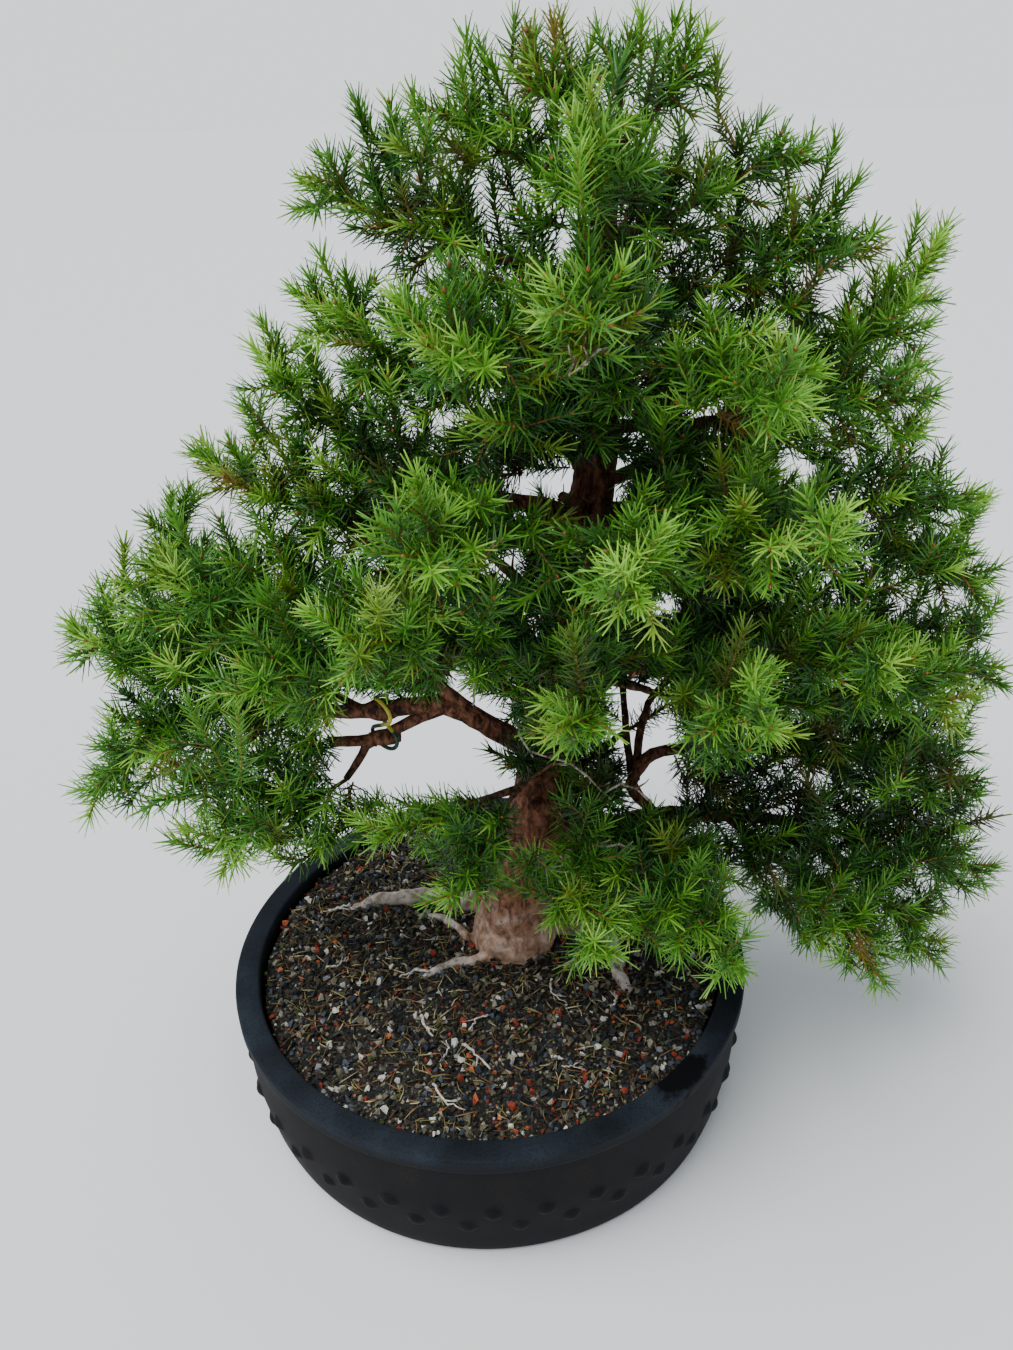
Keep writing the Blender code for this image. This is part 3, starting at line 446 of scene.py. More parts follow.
def shoot_bark():
    """Young spruce shoot: ribbed, from golden tan on this year's wood to grey-brown on old."""
    made, tree, shader = finish_of("shoot_bark", 0.7)
    age = add(tree, "ShaderNodeAttribute", attribute_name="age").outputs["Fac"]
    place = add(tree, "ShaderNodeTexCoord").outputs["Object"]
    # leaf cushions about 1 mm apart
    mottle = add(tree, "ShaderNodeTexNoise", {"Vector": place, "Scale": 1 / (1.0 * MM),
                                              "Detail": 2.0})
    mixed = add(tree, "ShaderNodeMath", {0: mottle, 1: 0.5, 2: age}, operation="MULTIPLY_ADD")
    lowered = add(tree, "ShaderNodeMath", {0: mixed, 1: 0.25}, operation="SUBTRACT",
                  use_clamp=True)
    hue = add(tree, "ShaderNodeValToRGB", {0: lowered}, stops=(
        (0.0, "#9A8C3C"), (0.16, "#9A662C"), (0.36, "#70401C"), (0.65, "#44291A"), (1.0, "#211812"),
    ))
    feed(shader, {"Base Color": hue})
    return made


def bud_scale():
    """Spruce bud: overlapping papery scales, red-brown with a paler edge."""
    made, tree, shader = finish_of("bud_scale", 0.55)
    place = add(tree, "ShaderNodeTexCoord").outputs["Object"]
    # scales about 0.8 mm long
    scales = add(tree, "ShaderNodeTexVoronoi", {"Vector": place, "Scale": 1 / (0.8 * MM)})
    hue = add(tree, "ShaderNodeValToRGB", {0: scales}, stops=(
        (0.0, "#4C260F"), (0.5, "#8A4A1E"), (1.0, "#B87C42"),
    ))
    feed(shader, {"Base Color": hue})
    return made


def spruce_bark():
    """Spruce bark: dark flaking scales with red-brown showing, and pink-tan lumps at the foot."""
    made, tree, shader = finish_of("spruce_bark", 0.9)
    place = add(tree, "ShaderNodeTexCoord").outputs["Object"]
    foot, root, thin, crack = [
        add(tree, "ShaderNodeAttribute", attribute_name=name).outputs["Fac"]
        for name in ("foot", "root", "thin", "crack")
    ]
    # flakes about 3 mm wide, taller than wide
    tall = add(tree, "ShaderNodeMapping", {"Vector": place, "Scale": (1, 1, 0.45)})
    flakes = add(tree, "ShaderNodeTexNoise", {"Vector": tall, "Scale": 1 / (3.2 * MM),
                                              "Detail": 6.0, "Roughness": 0.68,
                                              "Distortion": 0.5})
    blotch = add(tree, "ShaderNodeTexNoise", {"Vector": place, "Scale": 1 / (9 * MM),
                                              "Detail": 5.0, "Roughness": 0.62,
                                              "Distortion": 0.4})
    dark = add(tree, "ShaderNodeValToRGB", {0: flakes}, stops=(
        (0.32, "#20130D"), (0.43, "#54301F"), (0.53, "#824E36"), (0.64, "#A07054"),
        (0.78, "#BC967C"),
    ))
    tan = add(tree, "ShaderNodeValToRGB", {0: blotch}, stops=(
        (0.32, "#5E4230"), (0.44, "#A07A60"), (0.56, "#C8A48E"), (0.70, "#EAD6C6"),
    ))
    pale = add(tree, "ShaderNodeValToRGB", {0: blotch}, stops=(
        (0.32, "#6E5E50"), (0.45, "#A89A90"), (0.58, "#CEC4BC"), (0.72, "#ECE8E4"),
    ))
    young = add(tree, "ShaderNodeValToRGB", {0: flakes}, stops=(
        (0.36, "#1B130E"), (0.54, "#46301F"), (0.75, "#7C5F49"),
    ))
    coat = dark
    for mask, over in ((thin, young), (foot, tan), (root, pale)):
        coat = add(tree, "ShaderNodeMix", {0: mask, 6: coat, 7: over}, data_type="RGBA")
    # the flakes' low parts darkened, a little less on the foot
    flake_darkening = add(tree, "ShaderNodeValToRGB", {0: flakes}, stops=(
        (0.36, "#5C5048"), (0.5, "#FFFFFF"),
    ))
    much = add(tree, "ShaderNodeMapRange", {0: foot, 3: 0.7, 4: 0.4})
    flakes_darkened = add(tree, "ShaderNodeMix", {0: much, 6: coat, 7: flake_darkening},
                data_type="RGBA", blend_type="MULTIPLY")
    cracked = add(tree, "ShaderNodeMix", {0: crack, 6: flakes_darkened, 7: linear("#100A07")},
                  data_type="RGBA")
    bump = add(tree, "ShaderNodeBump", {"Height": flakes, "Strength": 0.8,
                                        "Distance": 0.9 * MM})
    feed(shader, {"Base Color": cracked, "Normal": bump})
    return made


def dead_twig():
    """Dead spruce twig: brown-black, partly as painted shade of the crown's dark inside, on some
    silver grey with crusts of pale lichen.
    """
    made, tree, shader = finish_of("dead_twig", 0.9)
    vary = add(tree, "ShaderNodeAttribute", attribute_name="vary").outputs["Fac"]
    place = add(tree, "ShaderNodeTexCoord").outputs["Object"]
    # crusts about 2 mm across
    crust = add(tree, "ShaderNodeTexNoise", {"Vector": place, "Scale": 1 / (2 * MM), "Detail": 4.0})
    level = add(tree, "ShaderNodeMath", {0: crust, 1: 0.5, 2: vary}, operation="MULTIPLY_ADD")
    hue = add(tree, "ShaderNodeValToRGB", {0: level}, stops=(
        (0.2, "#17100C"), (0.55, "#35241A"), (0.8, "#7A4A2A"), (1.0, "#5C4636"),
    ))
    pale = add(tree, "ShaderNodeMapRange", {0: level, 1: 1.02, 2: 1.22})
    mixed = add(tree, "ShaderNodeMix", {0: pale, 6: hue, 7: linear("#B8B2A2")}, data_type="RGBA")
    bump = add(tree, "ShaderNodeBump", {"Height": crust, "Strength": 0.6,
                                        "Distance": 0.4 * MM})
    feed(shader, {"Base Color": mixed, "Normal": bump})
    return made


def pot_stoneware():
    """Unglazed dark stoneware: smoke-black clay with fine grit; its rim's top is painted lighter
    and bluer, a painted reflection of the sky.
    """
    made, tree, shader = finish_of("pot_stoneware", 0.75, specular=0.12)
    place = add(tree, "ShaderNodeTexCoord").outputs["Object"]
    height = add(tree, "ShaderNodeSeparateXYZ", {0: place}).outputs["Z"]
    # grit of 0.5 mm, drawn at 0.8 mm so that it shows
    grit = add(tree, "ShaderNodeTexNoise", {"Vector": place, "Scale": 1 / (0.8 * MM),
                                            "Detail": 2.0})
    cloud = add(tree, "ShaderNodeTexNoise", {"Vector": place, "Scale": 1 / (28 * MM),
                                             "Detail": 5.0})
    # painted light: the rim's top band turns lighter and bluer, a painted sky reflection
    rim = add(tree, "ShaderNodeMapRange", {0: height, 1: POT_HEIGHT - 7 * MM,
                                           2: POT_HEIGHT - 1.5 * MM})
    body = add(tree, "ShaderNodeValToRGB", {0: cloud}, stops=(
        (0.32, "#0B0C0E"), (0.50, "#131417"), (0.64, "#1F1C1C"), (0.78, "#2C2624"),
    ))
    painted_rim_light = add(tree, "ShaderNodeValToRGB", {0: cloud}, stops=(
        (0.30, "#161A20"), (0.55, "#20262E"), (0.75, "#2C333C"),
    ))
    mixed = add(tree, "ShaderNodeMix", {0: rim, 6: body, 7: painted_rim_light}, data_type="RGBA")
    speck = add(tree, "ShaderNodeValToRGB", {0: grit}, stops=(
        (0.36, "#8C8C8C"), (0.5, "#FFFFFF"),
    ))
    specked = add(tree, "ShaderNodeMix", {0: 0.5, 6: mixed, 7: speck},
                  data_type="RGBA", blend_type="MULTIPLY")
    # one near-black patch on the rim, its outline ragged by noise of about 6 mm
    from_patch = add(tree, "ShaderNodeVectorMath", {0: place, 1: DARK_PATCH_PLACE}, operation="SUBTRACT")
    turned = add(tree, "ShaderNodeVectorRotate", {0: from_patch, "Angle": DARK_PATCH_TURN},
                 rotation_type="Z_AXIS")
    drawn = add(tree, "ShaderNodeMapping", {"Vector": turned, "Scale": (1.4, 0.62, 1.0)})
    far = add(tree, "ShaderNodeVectorMath", {0: drawn}, operation="LENGTH")
    ragged = add(tree, "ShaderNodeTexNoise", {"Vector": place, "Scale": 1 / (6 * MM),
                                              "Detail": 3.0})
    edge = add(tree, "ShaderNodeMath", {0: ragged, 1: 14 * MM,
                                        2: far}, operation="MULTIPLY_ADD")
    dark_patch = add(tree, "ShaderNodeMapRange", {0: edge, 1: 16 * MM, 2: 18.5 * MM,
                                            3: 1.0, 4: 0.0})
    patched = add(tree, "ShaderNodeMix", {0: dark_patch, 6: specked, 7: linear("#050608")}, data_type="RGBA")
    rough = add(tree, "ShaderNodeMapRange", {0: cloud, 1: 0.3, 2: 0.7, 3: 0.62, 4: 0.82})
    bump = add(tree, "ShaderNodeBump", {"Height": grit, "Strength": 0.35,
                                        "Distance": 0.25 * MM})
    feed(shader, {"Base Color": patched, "Roughness": rough, "Normal": bump})
    return made


def soil_dust():
    """Fines between the grains: brown crumbs with small chips of the same grit."""
    made, tree, shader = finish_of("soil_dust", 0.95)
    place = add(tree, "ShaderNodeTexCoord").outputs["Object"]
    # chips of about 1.4 mm
    chips = add(tree, "ShaderNodeTexVoronoi", {"Vector": place, "Scale": 1 / (1.4 * MM)})
    pick = add(tree, "ShaderNodeSeparateColor", {0: chips.outputs["Color"]})
    hue = add(tree, "ShaderNodeValToRGB", {0: pick}, stops=(
        (0.0, "#181611"), (0.35, "#2C2A20"), (0.55, "#262A30"), (0.70, "#484431"),
        (0.85, "#7E7866"), (0.95, "#7A3520"),
    ))
    hue.color_ramp.interpolation = "CONSTANT"
    shade = add(tree, "ShaderNodeValToRGB", {0: chips}, stops=(
        (0.2, "#FFFFFF"), (0.75, "#4A4440"),
    ))
    mixed = add(tree, "ShaderNodeMix", {0: 0.9, 6: hue, 7: shade},
                data_type="RGBA", blend_type="MULTIPLY")
    bump = add(tree, "ShaderNodeBump", {"Height": chips, "Strength": 0.8,
                                        "Distance": 0.7 * MM}, invert=True)
    feed(shader, {"Base Color": mixed, "Normal": bump})
    return made


def bonsai_grit():
    """Bonsai grit: crushed dark basalt, white pumice, red lava and tan clay, dusty and matt."""
    made, tree, shader = finish_of("bonsai_grit", 0.85)
    kind = add(tree, "ShaderNodeAttribute", attribute_name="kind").outputs["Fac"]
    place = add(tree, "ShaderNodeTexCoord").outputs["Object"]
    hue = add(tree, "ShaderNodeValToRGB", {0: kind}, stops=(
        (0.0, "#141618"), (0.16, "#2C323A"), (0.30, "#4E5864"), (0.38, "#2A2419"),
        (0.50, "#413D30"), (0.62, "#645F4D"), (0.72, "#4E5A2E"), (0.75, "#98937F"),
        (0.85, "#E0DED6"), (0.905, "#96361E"), (0.95, "#C86A38"), (0.97, "#8C9096"),
    ))
    hue.color_ramp.interpolation = "CONSTANT"
    # pores of about 0.6 mm
    pores = add(tree, "ShaderNodeTexNoise", {"Vector": place, "Scale": 1 / (0.6 * MM),
                                             "Detail": 3.0})
    shade = add(tree, "ShaderNodeValToRGB", {0: pores}, stops=(
        (0.32, "#6E6A66"), (0.6, "#FFFFFF"),
    ))
    mixed = add(tree, "ShaderNodeMix", {0: 0.75, 6: hue, 7: shade},
                data_type="RGBA", blend_type="MULTIPLY")
    bump = add(tree, "ShaderNodeBump", {"Height": pores, "Strength": 0.5,
                                        "Distance": 0.3 * MM})
    feed(shader, {"Base Color": mixed, "Normal": bump})
    return made


def dry_needle():
    """Fallen spruce needle: dry and brown, some bleached."""
    made, tree, shader = finish_of("dry_needle", 0.75)
    vary = add(tree, "ShaderNodeAttribute", attribute_name="vary").outputs["Fac"]
    hue = add(tree, "ShaderNodeValToRGB", {0: vary}, stops=(
        (0.0, "#3A2A18"), (0.35, "#6A4E2E"), (0.6, "#8A7040"), (0.78, "#6A7038"), (1.0, "#CDBE90"),
    ))
    feed(shader, {"Base Color": hue})
    return made


def root_fibre():
    """Bleached root fibre: pale, stringy and dusty."""
    made, tree, shader = finish_of("root_fibre", 0.85)
    place = add(tree, "ShaderNodeTexCoord").outputs["Object"]
    # fibres about 1.2 mm long
    strand = add(tree, "ShaderNodeTexNoise", {"Vector": place, "Scale": 1 / (1.2 * MM),
                                              "Detail": 3.0})
    hue = add(tree, "ShaderNodeValToRGB", {0: strand}, stops=(
        (0.3, "#8A8078"), (0.55, "#C9C2BA"), (0.75, "#E9E6E2"),
    ))
    feed(shader, {"Base Color": hue})
    return made


def tie_covering():
    """Plastic-covered garden wire: yellow with a moss-green stripe, scuffed."""
    made, tree, shader = finish_of("tie_covering", 0.45)
    along = add(tree, "ShaderNodeAttribute", attribute_name="along").outputs["Fac"]
    place = add(tree, "ShaderNodeTexCoord").outputs["Object"]
    height = add(tree, "ShaderNodeSeparateXYZ", {0: place}).outputs["Z"]
    # faint green bands along the wire, and full green on its lowest part
    wave = add(tree, "ShaderNodeMath", {0: along, 1: TIE_BANDS * 2 * math.pi}, operation="MULTIPLY")
    sine = add(tree, "ShaderNodeMath", {0: wave}, operation="SINE")
    band = add(tree, "ShaderNodeMath", {0: sine, 1: 0.34}, operation="MULTIPLY")
    low = add(tree, "ShaderNodeMapRange", {0: height, 1: 231 * MM, 2: 226 * MM, 3: 0.0, 4: 0.9})
    green = add(tree, "ShaderNodeMath", {0: band, 1: low}, operation="ADD")
    scuff = add(tree, "ShaderNodeTexNoise", {"Vector": place, "Scale": 1 / (1.5 * MM),
                                             "Detail": 3.0})
    level = add(tree, "ShaderNodeMath", {0: scuff, 1: 0.5, 2: green}, operation="MULTIPLY_ADD")
    hue = add(tree, "ShaderNodeValToRGB", {0: level}, stops=(
        (0.30, "#D6CB4A"), (0.62, "#C2BC46"), (0.78, "#3F6B4A"), (1.0, "#274B3C"),
    ))
    feed(shader, {"Base Color": hue})
    return made


def weathered_copper():
    """Annealed copper wire, weathered: a brown skin with brighter, smoother patches."""
    made, tree, shader = finish_of("weathered_copper", 0.5, 0.85)
    place = add(tree, "ShaderNodeTexCoord").outputs["Object"]
    # stains about 2.5 mm long
    stain = add(tree, "ShaderNodeTexNoise", {"Vector": place, "Scale": 1 / (2.5 * MM),
                                             "Detail": 4.0})
    hue = add(tree, "ShaderNodeValToRGB", {0: stain}, stops=(
        (0.32, "#4E2E22"), (0.55, "#8A5238"), (0.72, "#C07A52"),
    ))
    rough = add(tree, "ShaderNodeMapRange", {0: stain, 1: 0.3, 2: 0.7, 3: 0.62, 4: 0.35})
    feed(shader, {"Base Color": hue, "Roughness": rough})
    return made


def mesh_plastic():
    """Extruded black polyethylene mesh with soil dust on it."""
    made, tree, shader = finish_of("mesh_plastic", 0.6)
    place = add(tree, "ShaderNodeTexCoord").outputs["Object"]
    # dust patches about 2 mm across
    dust = add(tree, "ShaderNodeTexNoise", {"Vector": place, "Scale": 1 / (2 * MM), "Detail": 3.0})
    hue = add(tree, "ShaderNodeValToRGB", {0: dust}, stops=(
        (0.45, "#141416"), (0.7, "#3A322B"),
    ))
    feed(shader, {"Base Color": hue})
    return made


# Meshes

def shown(obj):
    """The object, put into the scene."""
    bpy.context.scene.collection.objects.link(obj)
    return obj


def new_piece(name, points, faces, finishes, values=None, edges=(), smooth=True):
    """A mesh object from points, faces and loose edges, with named values for each point."""
    data = bpy.data.meshes.new(name)
    data.from_pydata([tuple(point) for point in points], edges, [tuple(face) for face in faces])
    for label, numbers in (values or {}).items():
        data.attributes.new(label, "FLOAT", "POINT").data.foreach_set(
            "value", np.asarray(numbers, np.float32))
    for finish in finishes:
        data.materials.append(finish)
    data.polygons.foreach_set("use_smooth", np.full(len(data.polygons), smooth))
    data.update()
    return shown(bpy.data.objects.new(name, data))


def place_piece(obj, slot, *nodes):
    """Hangs a finished piece on the one body and lets it stand for CAD nodes."""
    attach(obj, "root")
    if nodes:
        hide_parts(*nodes)
    return obj


def carried_frames(points):
    """A right-angled frame at each point, carried along the path without twist."""
    points = [Vector(point) for point in points]
    steps = [(b - a).normalized() for a, b in zip(points, points[1:])]
    inner = [(a + b).normalized() for a, b in zip(steps, steps[1:])]
    steps = [steps[0]] + inner + [steps[-1]]
    side = steps[0].orthogonal().normalized()
    frames = []
    for point, step in zip(points, steps):
        side = (side - step * side.dot(step)).normalized()
        frames.append((point, side, step.cross(side)))
    return frames


class Shell:
    """Points and faces gathered for one mesh, with values for each point."""

    def __init__(self):
        self.points = []
        self.faces = []
        self.values = {}

    def extend(self, points, faces, **values):
        """Adds points and faces. A value is one number for all the points or a number for each."""
        base = len(self.points)
        self.points.extend(points)
        self.faces.extend([tuple(base + k for k in face) for face in faces])
        for label, number in values.items():
            column = self.values.setdefault(label, [])
            column.extend(number if hasattr(number, "__len__") else [number] * len(points))

    def tube(self, points, radii, sides, wobble=0.0, seed=0.0, **values):
        """A closed tube with rounded ends, uneven by the wobble's share of its radius."""
        places = []
        spread = {label: [] for label in values}
        for k, ((point, side, up), radius) in enumerate(zip(carried_frames(points), radii)):
            for turn in range(sides):
                angle = 2 * math.pi * turn / sides
                out = side * math.cos(angle) + up * math.sin(angle)
                here = Vector(point) + out * radius
                swell = 1 + wobble * noise.noise((here + Vector((seed, 0, 0))) / (5 * MM))
                places.append(Vector(point) + out * radius * swell)
            for label, numbers in values.items():
                number = numbers[k] if hasattr(numbers, "__len__") else numbers
                spread[label].extend([number] * sides)
        faces = []
        for k in range(len(points) - 1):
            for turn in range(sides):
                after = (turn + 1) % sides
                faces.append((k * sides + turn, k * sides + after,
                              (k + 1) * sides + after, (k + 1) * sides + turn))
        faces.append(tuple(range(sides))[::-1])
        faces.append(tuple((len(points) - 1) * sides + turn for turn in range(sides)))
        self.extend(places, faces, **spread)


def clipped(value, most=1.0):
    """The value, held between nought and the most."""
    return min(most, max(0.0, value))


def search_tree(points):
    """A search tree that finds the points nearest to a place."""
    tree = KDTree(len(points))
    for k, point in enumerate(points):
        tree.insert(point, k)
    tree.balance()
    return tree


# The tree's plan

class Path:
    """A smooth curve through points, read by its length."""

    def __init__(self, points, samples=12):
        points = [np.array(point, float) for point in points]
        points = [2 * points[0] - points[1]] + points + [2 * points[-1] - points[-2]]
        dense = []
        for before, start, end, after in zip(points, points[1:], points[2:], points[3:]):
            for t in np.arange(samples) / samples:
                dense.append(0.5 * (
                    2 * start + (end - before) * t
                    + (2 * before - 5 * start + 4 * end - after) * t ** 2
                    + (3 * start - before - 3 * end + after) * t ** 3
                ))
        dense.append(points[-2])
        self.points = np.array(dense)
        steps = np.linalg.norm(np.diff(self.points, axis=0), axis=1)
        self.lengths = np.concatenate([[0], np.cumsum(steps)])
        self.length = self.lengths[-1]

    def at(self, length):
        """The point at a length along the curve."""
        return Vector([float(np.interp(length, self.lengths, axis)) for axis in self.points.T])

    def direction(self, length):
        """The way that the curve runs at a length along it."""
        low = max(0.0, length - 1 * MM)
        high = min(self.length, length + 1 * MM)
        return (self.at(high) - self.at(low)).normalized()

    def between(self, start, end, count):
        """Evenly spaced points from one length to another."""
        return [self.at(length) for length in np.linspace(start, end, count)]


def scaled(point):
    """Metres from millimetres."""
    return tuple(value * MM for value in point)


def trunk_place(height):
    """The trunk's middle at a height in millimetres, and its radius there, in metres."""
    rows = np.array(TRUNK) * MM
    return tuple(float(np.interp(height * MM, rows[:, 2], rows[:, k])) for k in range(4))


def wood_radius(radius, share):
    """A branch's radius at a share of its wood, from the radius that it starts with."""
    return TWIG_RADIUS + (radius - TWIG_RADIUS) * (1 - share) ** 0.8


def wood_points(path, wood, radius):
    """Points and radii along a branch's wood, as the CAD has them."""
    count = 2 + int(wood / (THICK_RING_SPACING if radius > THICK_BRANCH else THIN_RING_SPACING))
    points = path.between(0, wood, count)
    return points, [wood_radius(radius, k / (count - 1)) for k in range(count)]


def on_line(points, share):
    """The point, direction and side at a share of a line of even steps."""
    steps = len(points) - 1
    low = min(int(share * steps), steps - 1)
    along = (points[low + 1] - points[low]).normalized()
    side = carried_frames(points)[low][1]
    side = (side - along * side.dot(along)).normalized()
    return points[low].lerp(points[low + 1], share * steps - low), along, side


def branch_paths():
    """Each branch's whole curve, the length of its wood, and the radius that it starts with."""
    plan = {}
    for branch in BRANCHES:
        if isinstance(branch.leaves, tuple):
            name, share = branch.leaves
            parent, parent_wood, parent_radius = plan[name]
            line, _ = wood_points(parent, parent_wood, parent_radius)
            root = on_line(line, share * parent.length / parent_wood)[0]
        else:
            root = Vector(trunk_place(branch.leaves)[:3])
        tip = Vector(scaled(branch.tip))
        bends = [Vector(scaled(bend)) for bend in branch.bends]
        if not bends:
            bend = root.lerp(tip, 0.45)
            bend.z = root.z + 0.3 * (tip.z - root.z)
            bends = [bend]
        path = Path([root, *bends, tip])
        spray = min(SPRAY_LENGTH, SPRAY_SHARE * path.length)
        plan[branch.name] = (path, path.length - spray, branch.radius * MM)
    leader = Path([Vector(scaled(TRUNK[-1][:3])), Vector(scaled(LEADER_TIP))])
    plan["leader"] = (leader, 0.0, TWIG_RADIUS)
    return plan


# Foliage

Shoot = namedtuple("Shoot", "points radius age tone blue dead reach",
                   defaults=(0.0, 0.0, 0.0, 1.0))


def main_side_shoot(core, length, rank, rng):
    """Where one side shoot of the CAD's spray starts and ends."""
    share = 0.12 + 0.72 * rank / (BRANCHLETS - 1)
    root, along, _ = on_line(core, share)
    level = along.cross(UP).normalized()
    over = level.cross(along).normalized()
    roll = math.radians(rng.uniform(12, 68)) * (1 if rng.random() < 0.75 else -0.6)
    side = level * math.cos(roll) * (1 if rank % 2 else -1) + over * math.sin(roll)
    lean = math.radians(58 - 20 * share + rng.uniform(-6, 6))
    reach = length * BRANCHLET_SHARE * (1 - 0.38 * share) * rng.uniform(0.88, 1.12)
    return root, root + (along * math.cos(lean) + side * math.sin(lean)) * reach


def grown_line(root, way, length, rng, steps=4):
    """A shoot's middle line, which bends a little up and to one side as it grows."""
    sideways = way.cross(UP)
    if sideways.length < 0.2:
        sideways = Vector((1, 0, 0))
    drift = sideways.normalized() * rng.uniform(-0.18, 0.18) + UP * rng.uniform(0.02, 0.26)
    return [
        root + way * length * k / steps + drift * length * (k / steps) ** 2 * 0.6
        for k in range(steps + 1)
    ]


class Room:
    """Keeps shoots inside the CAD's box and off the trunk, the pot, the soil and the ground."""

    def __init__(self, low, high):
        self.low = Vector(low) + Vector((BOX_MARGIN,) * 3)
        self.high = Vector(high) - Vector((BOX_MARGIN,) * 3)

    def clear(self, point):
        """Whether a shoot may end at a point."""
        if any(point[k] < self.low[k] or point[k] > self.high[k] for k in range(3)):
            return False
        x, y, _, radius = trunk_place(point.z / MM)
        if math.hypot(point.x - x, point.y - y) < radius + TRUNK_MARGIN:
            return False
        over_pot = math.hypot(point.x, point.y) < RIM_RADIUS + RIM_MARGIN
        return point.z > (POT_HEIGHT + SOIL_MARGIN if over_pot else GROUND_MARGIN)


def side_way(along, share, turn, rng):
    """A direction for a side shoot: mostly level with its parent, leaning forward to the tip."""
    level = along.cross(UP)
    level = level.normalized() if level.length > 0.1 else Vector((1, 0, 0))
    over = level.cross(along).normalized()
    side = level * math.cos(turn) + over * (math.sin(turn) * 0.75 + 0.3)
    lean = math.radians(62 - 22 * share + rng.uniform(-9, 9))
    return (along * math.cos(lean) + side.normalized() * math.sin(lean)).normalized()


def side_lines(core, fine, length, rank, rng):
    """Middle lines of a spray's side shoots: first those of its solid, then more in a spiral."""
    solid_rng = random.Random(SOLID_SEED + rank)
    mains = [main_side_shoot(core, length, k, solid_rng) for k in range(BRANCHLETS)]
    lines = [grown_line(root, (tip - root).normalized(), (tip - root).length, rng)
             for root, tip in mains]
    extra = max(4, round(length / SIDE_SPACING))
    for k in range(extra):
        share = 0.03 + 0.93 * (k + rng.uniform(0.1, 0.9)) / extra
        root, along, _ = on_line(fine, share)
        way = side_way(along, share, k * SPIRAL_TURN + rng.uniform(-0.4, 0.4), rng)
        reach = length * 0.40 * (1 - 0.42 * share) * rng.uniform(0.66, 1.12)
        lines.append(grown_line(root, way, max(SIDE_SHORTEST, reach), rng))
    return lines


def small_shoots(line, room, rng):
    """One or two small shoots on a side shoot, where it is long enough to fork."""
    parent = Path(line)
    if parent.length < FORKS_FROM:
        return []
    shoots = []
    for part in (0.28, 0.58) if parent.length > FORKS_TWICE_FROM else (0.4,):
        root = parent.at(part * parent.length)
        way = side_way(parent.direction(part * parent.length), part,
                       rng.uniform(0, 2 * math.pi), rng)
        reach = parent.length * 0.62 * (1 - 0.3 * part) * rng.uniform(0.7, 1.2)
        small = grown_line(root, way, max(SMALL_SHORTEST, reach), rng, 3)
        if room.clear(small[-1]):
            shoots.append(Shoot(small, *SMALL_STEM))
    return shoots


def spray_shoots(path, wood, rank, room):
    """All the shoots of one spray, from its CAD core and side shoots out to small twigs."""
    start = wood + GAP
    core = path.between(start, path.length, CORE_RINGS)
    fine = path.between(start, path.length, 9)
    rng = random.Random(SIDE_SEED + rank)
    shoots = [Shoot(fine, *CORE_STEM)]
    for line in side_lines(core, fine, path.length - start, rank, rng):
        while len(line) > 2 and not room.clear(line[-1]):
            line = line[:-1]
        if len(line) > 2:
            shoots.append(Shoot(line, *SIDE_STEM))
            shoots += small_shoots(line, room, rng)
    return shoots


def inner_shoots(path, wood, rank, room):
    """Sparser, darker shoots on the outer part of a branch's own wood; their darkness is painted
    shade from lying deep in the crown.
    """
    rng = random.Random(INNER_SEED + rank)
    lines = []
    count = int(0.85 * wood / INNER_SPACING)
    for k in range(count):
        place = wood * (0.34 + 0.64 * (k + rng.random()) / max(1, count))
        root, along = path.at(place), path.direction(place)
        way = side_way(along, 0.3, k * SPIRAL_TURN + rng.uniform(-0.5, 0.5), rng)
        line = grown_line(root, way, rng.uniform(18, 38) * MM, rng)
        if room.clear(line[-1]) and room.clear(line[2]):
            lines.append(line)
    return [Shoot(line, *INNER_STEM, reach=0.92) for line in lines]


def rising_shoots(path, wood, rank, room):
    """This year's shoots, which stand up from the spray."""
    rng = random.Random(RISING_SEED + rank)
    shoots = []
    for _ in range(RISING_COUNT):
        place = wood + (path.length - wood) * rng.uniform(0.05, 0.8)
        root, along = path.at(place), path.direction(place)
        sideways = Vector((rng.uniform(-1, 1), rng.uniform(-1, 1), 0)) * 0.35
        way = (along * rng.uniform(0.2, 0.6) + UP * rng.uniform(0.7, 1.1) + sideways).normalized()
        line = grown_line(root, way, rng.uniform(22, 42) * MM, rng)
        if room.clear(line[-1]) and not in_window(line[-1]):
            shoots.append(Shoot(line, *RISING_STEM))
    return shoots


class Twigs:
    """All the twig points so far, to find what a new shoot can grow from."""

    def __init__(self):
        self.points = []
        self.ways = []
        self.owners = []
        self.tree = None

    def add_line(self, line, owner):
        """Takes in a line's points after its first, and the branch that it belongs to."""
        for before, after in zip(line, line[1:]):
            self.points.append(after)
            self.ways.append((after - before).normalized())
            self.owners.append(owner)

    def balance(self):
        """Makes the search cover all the points so far."""
        self.tree = search_tree(self.points)


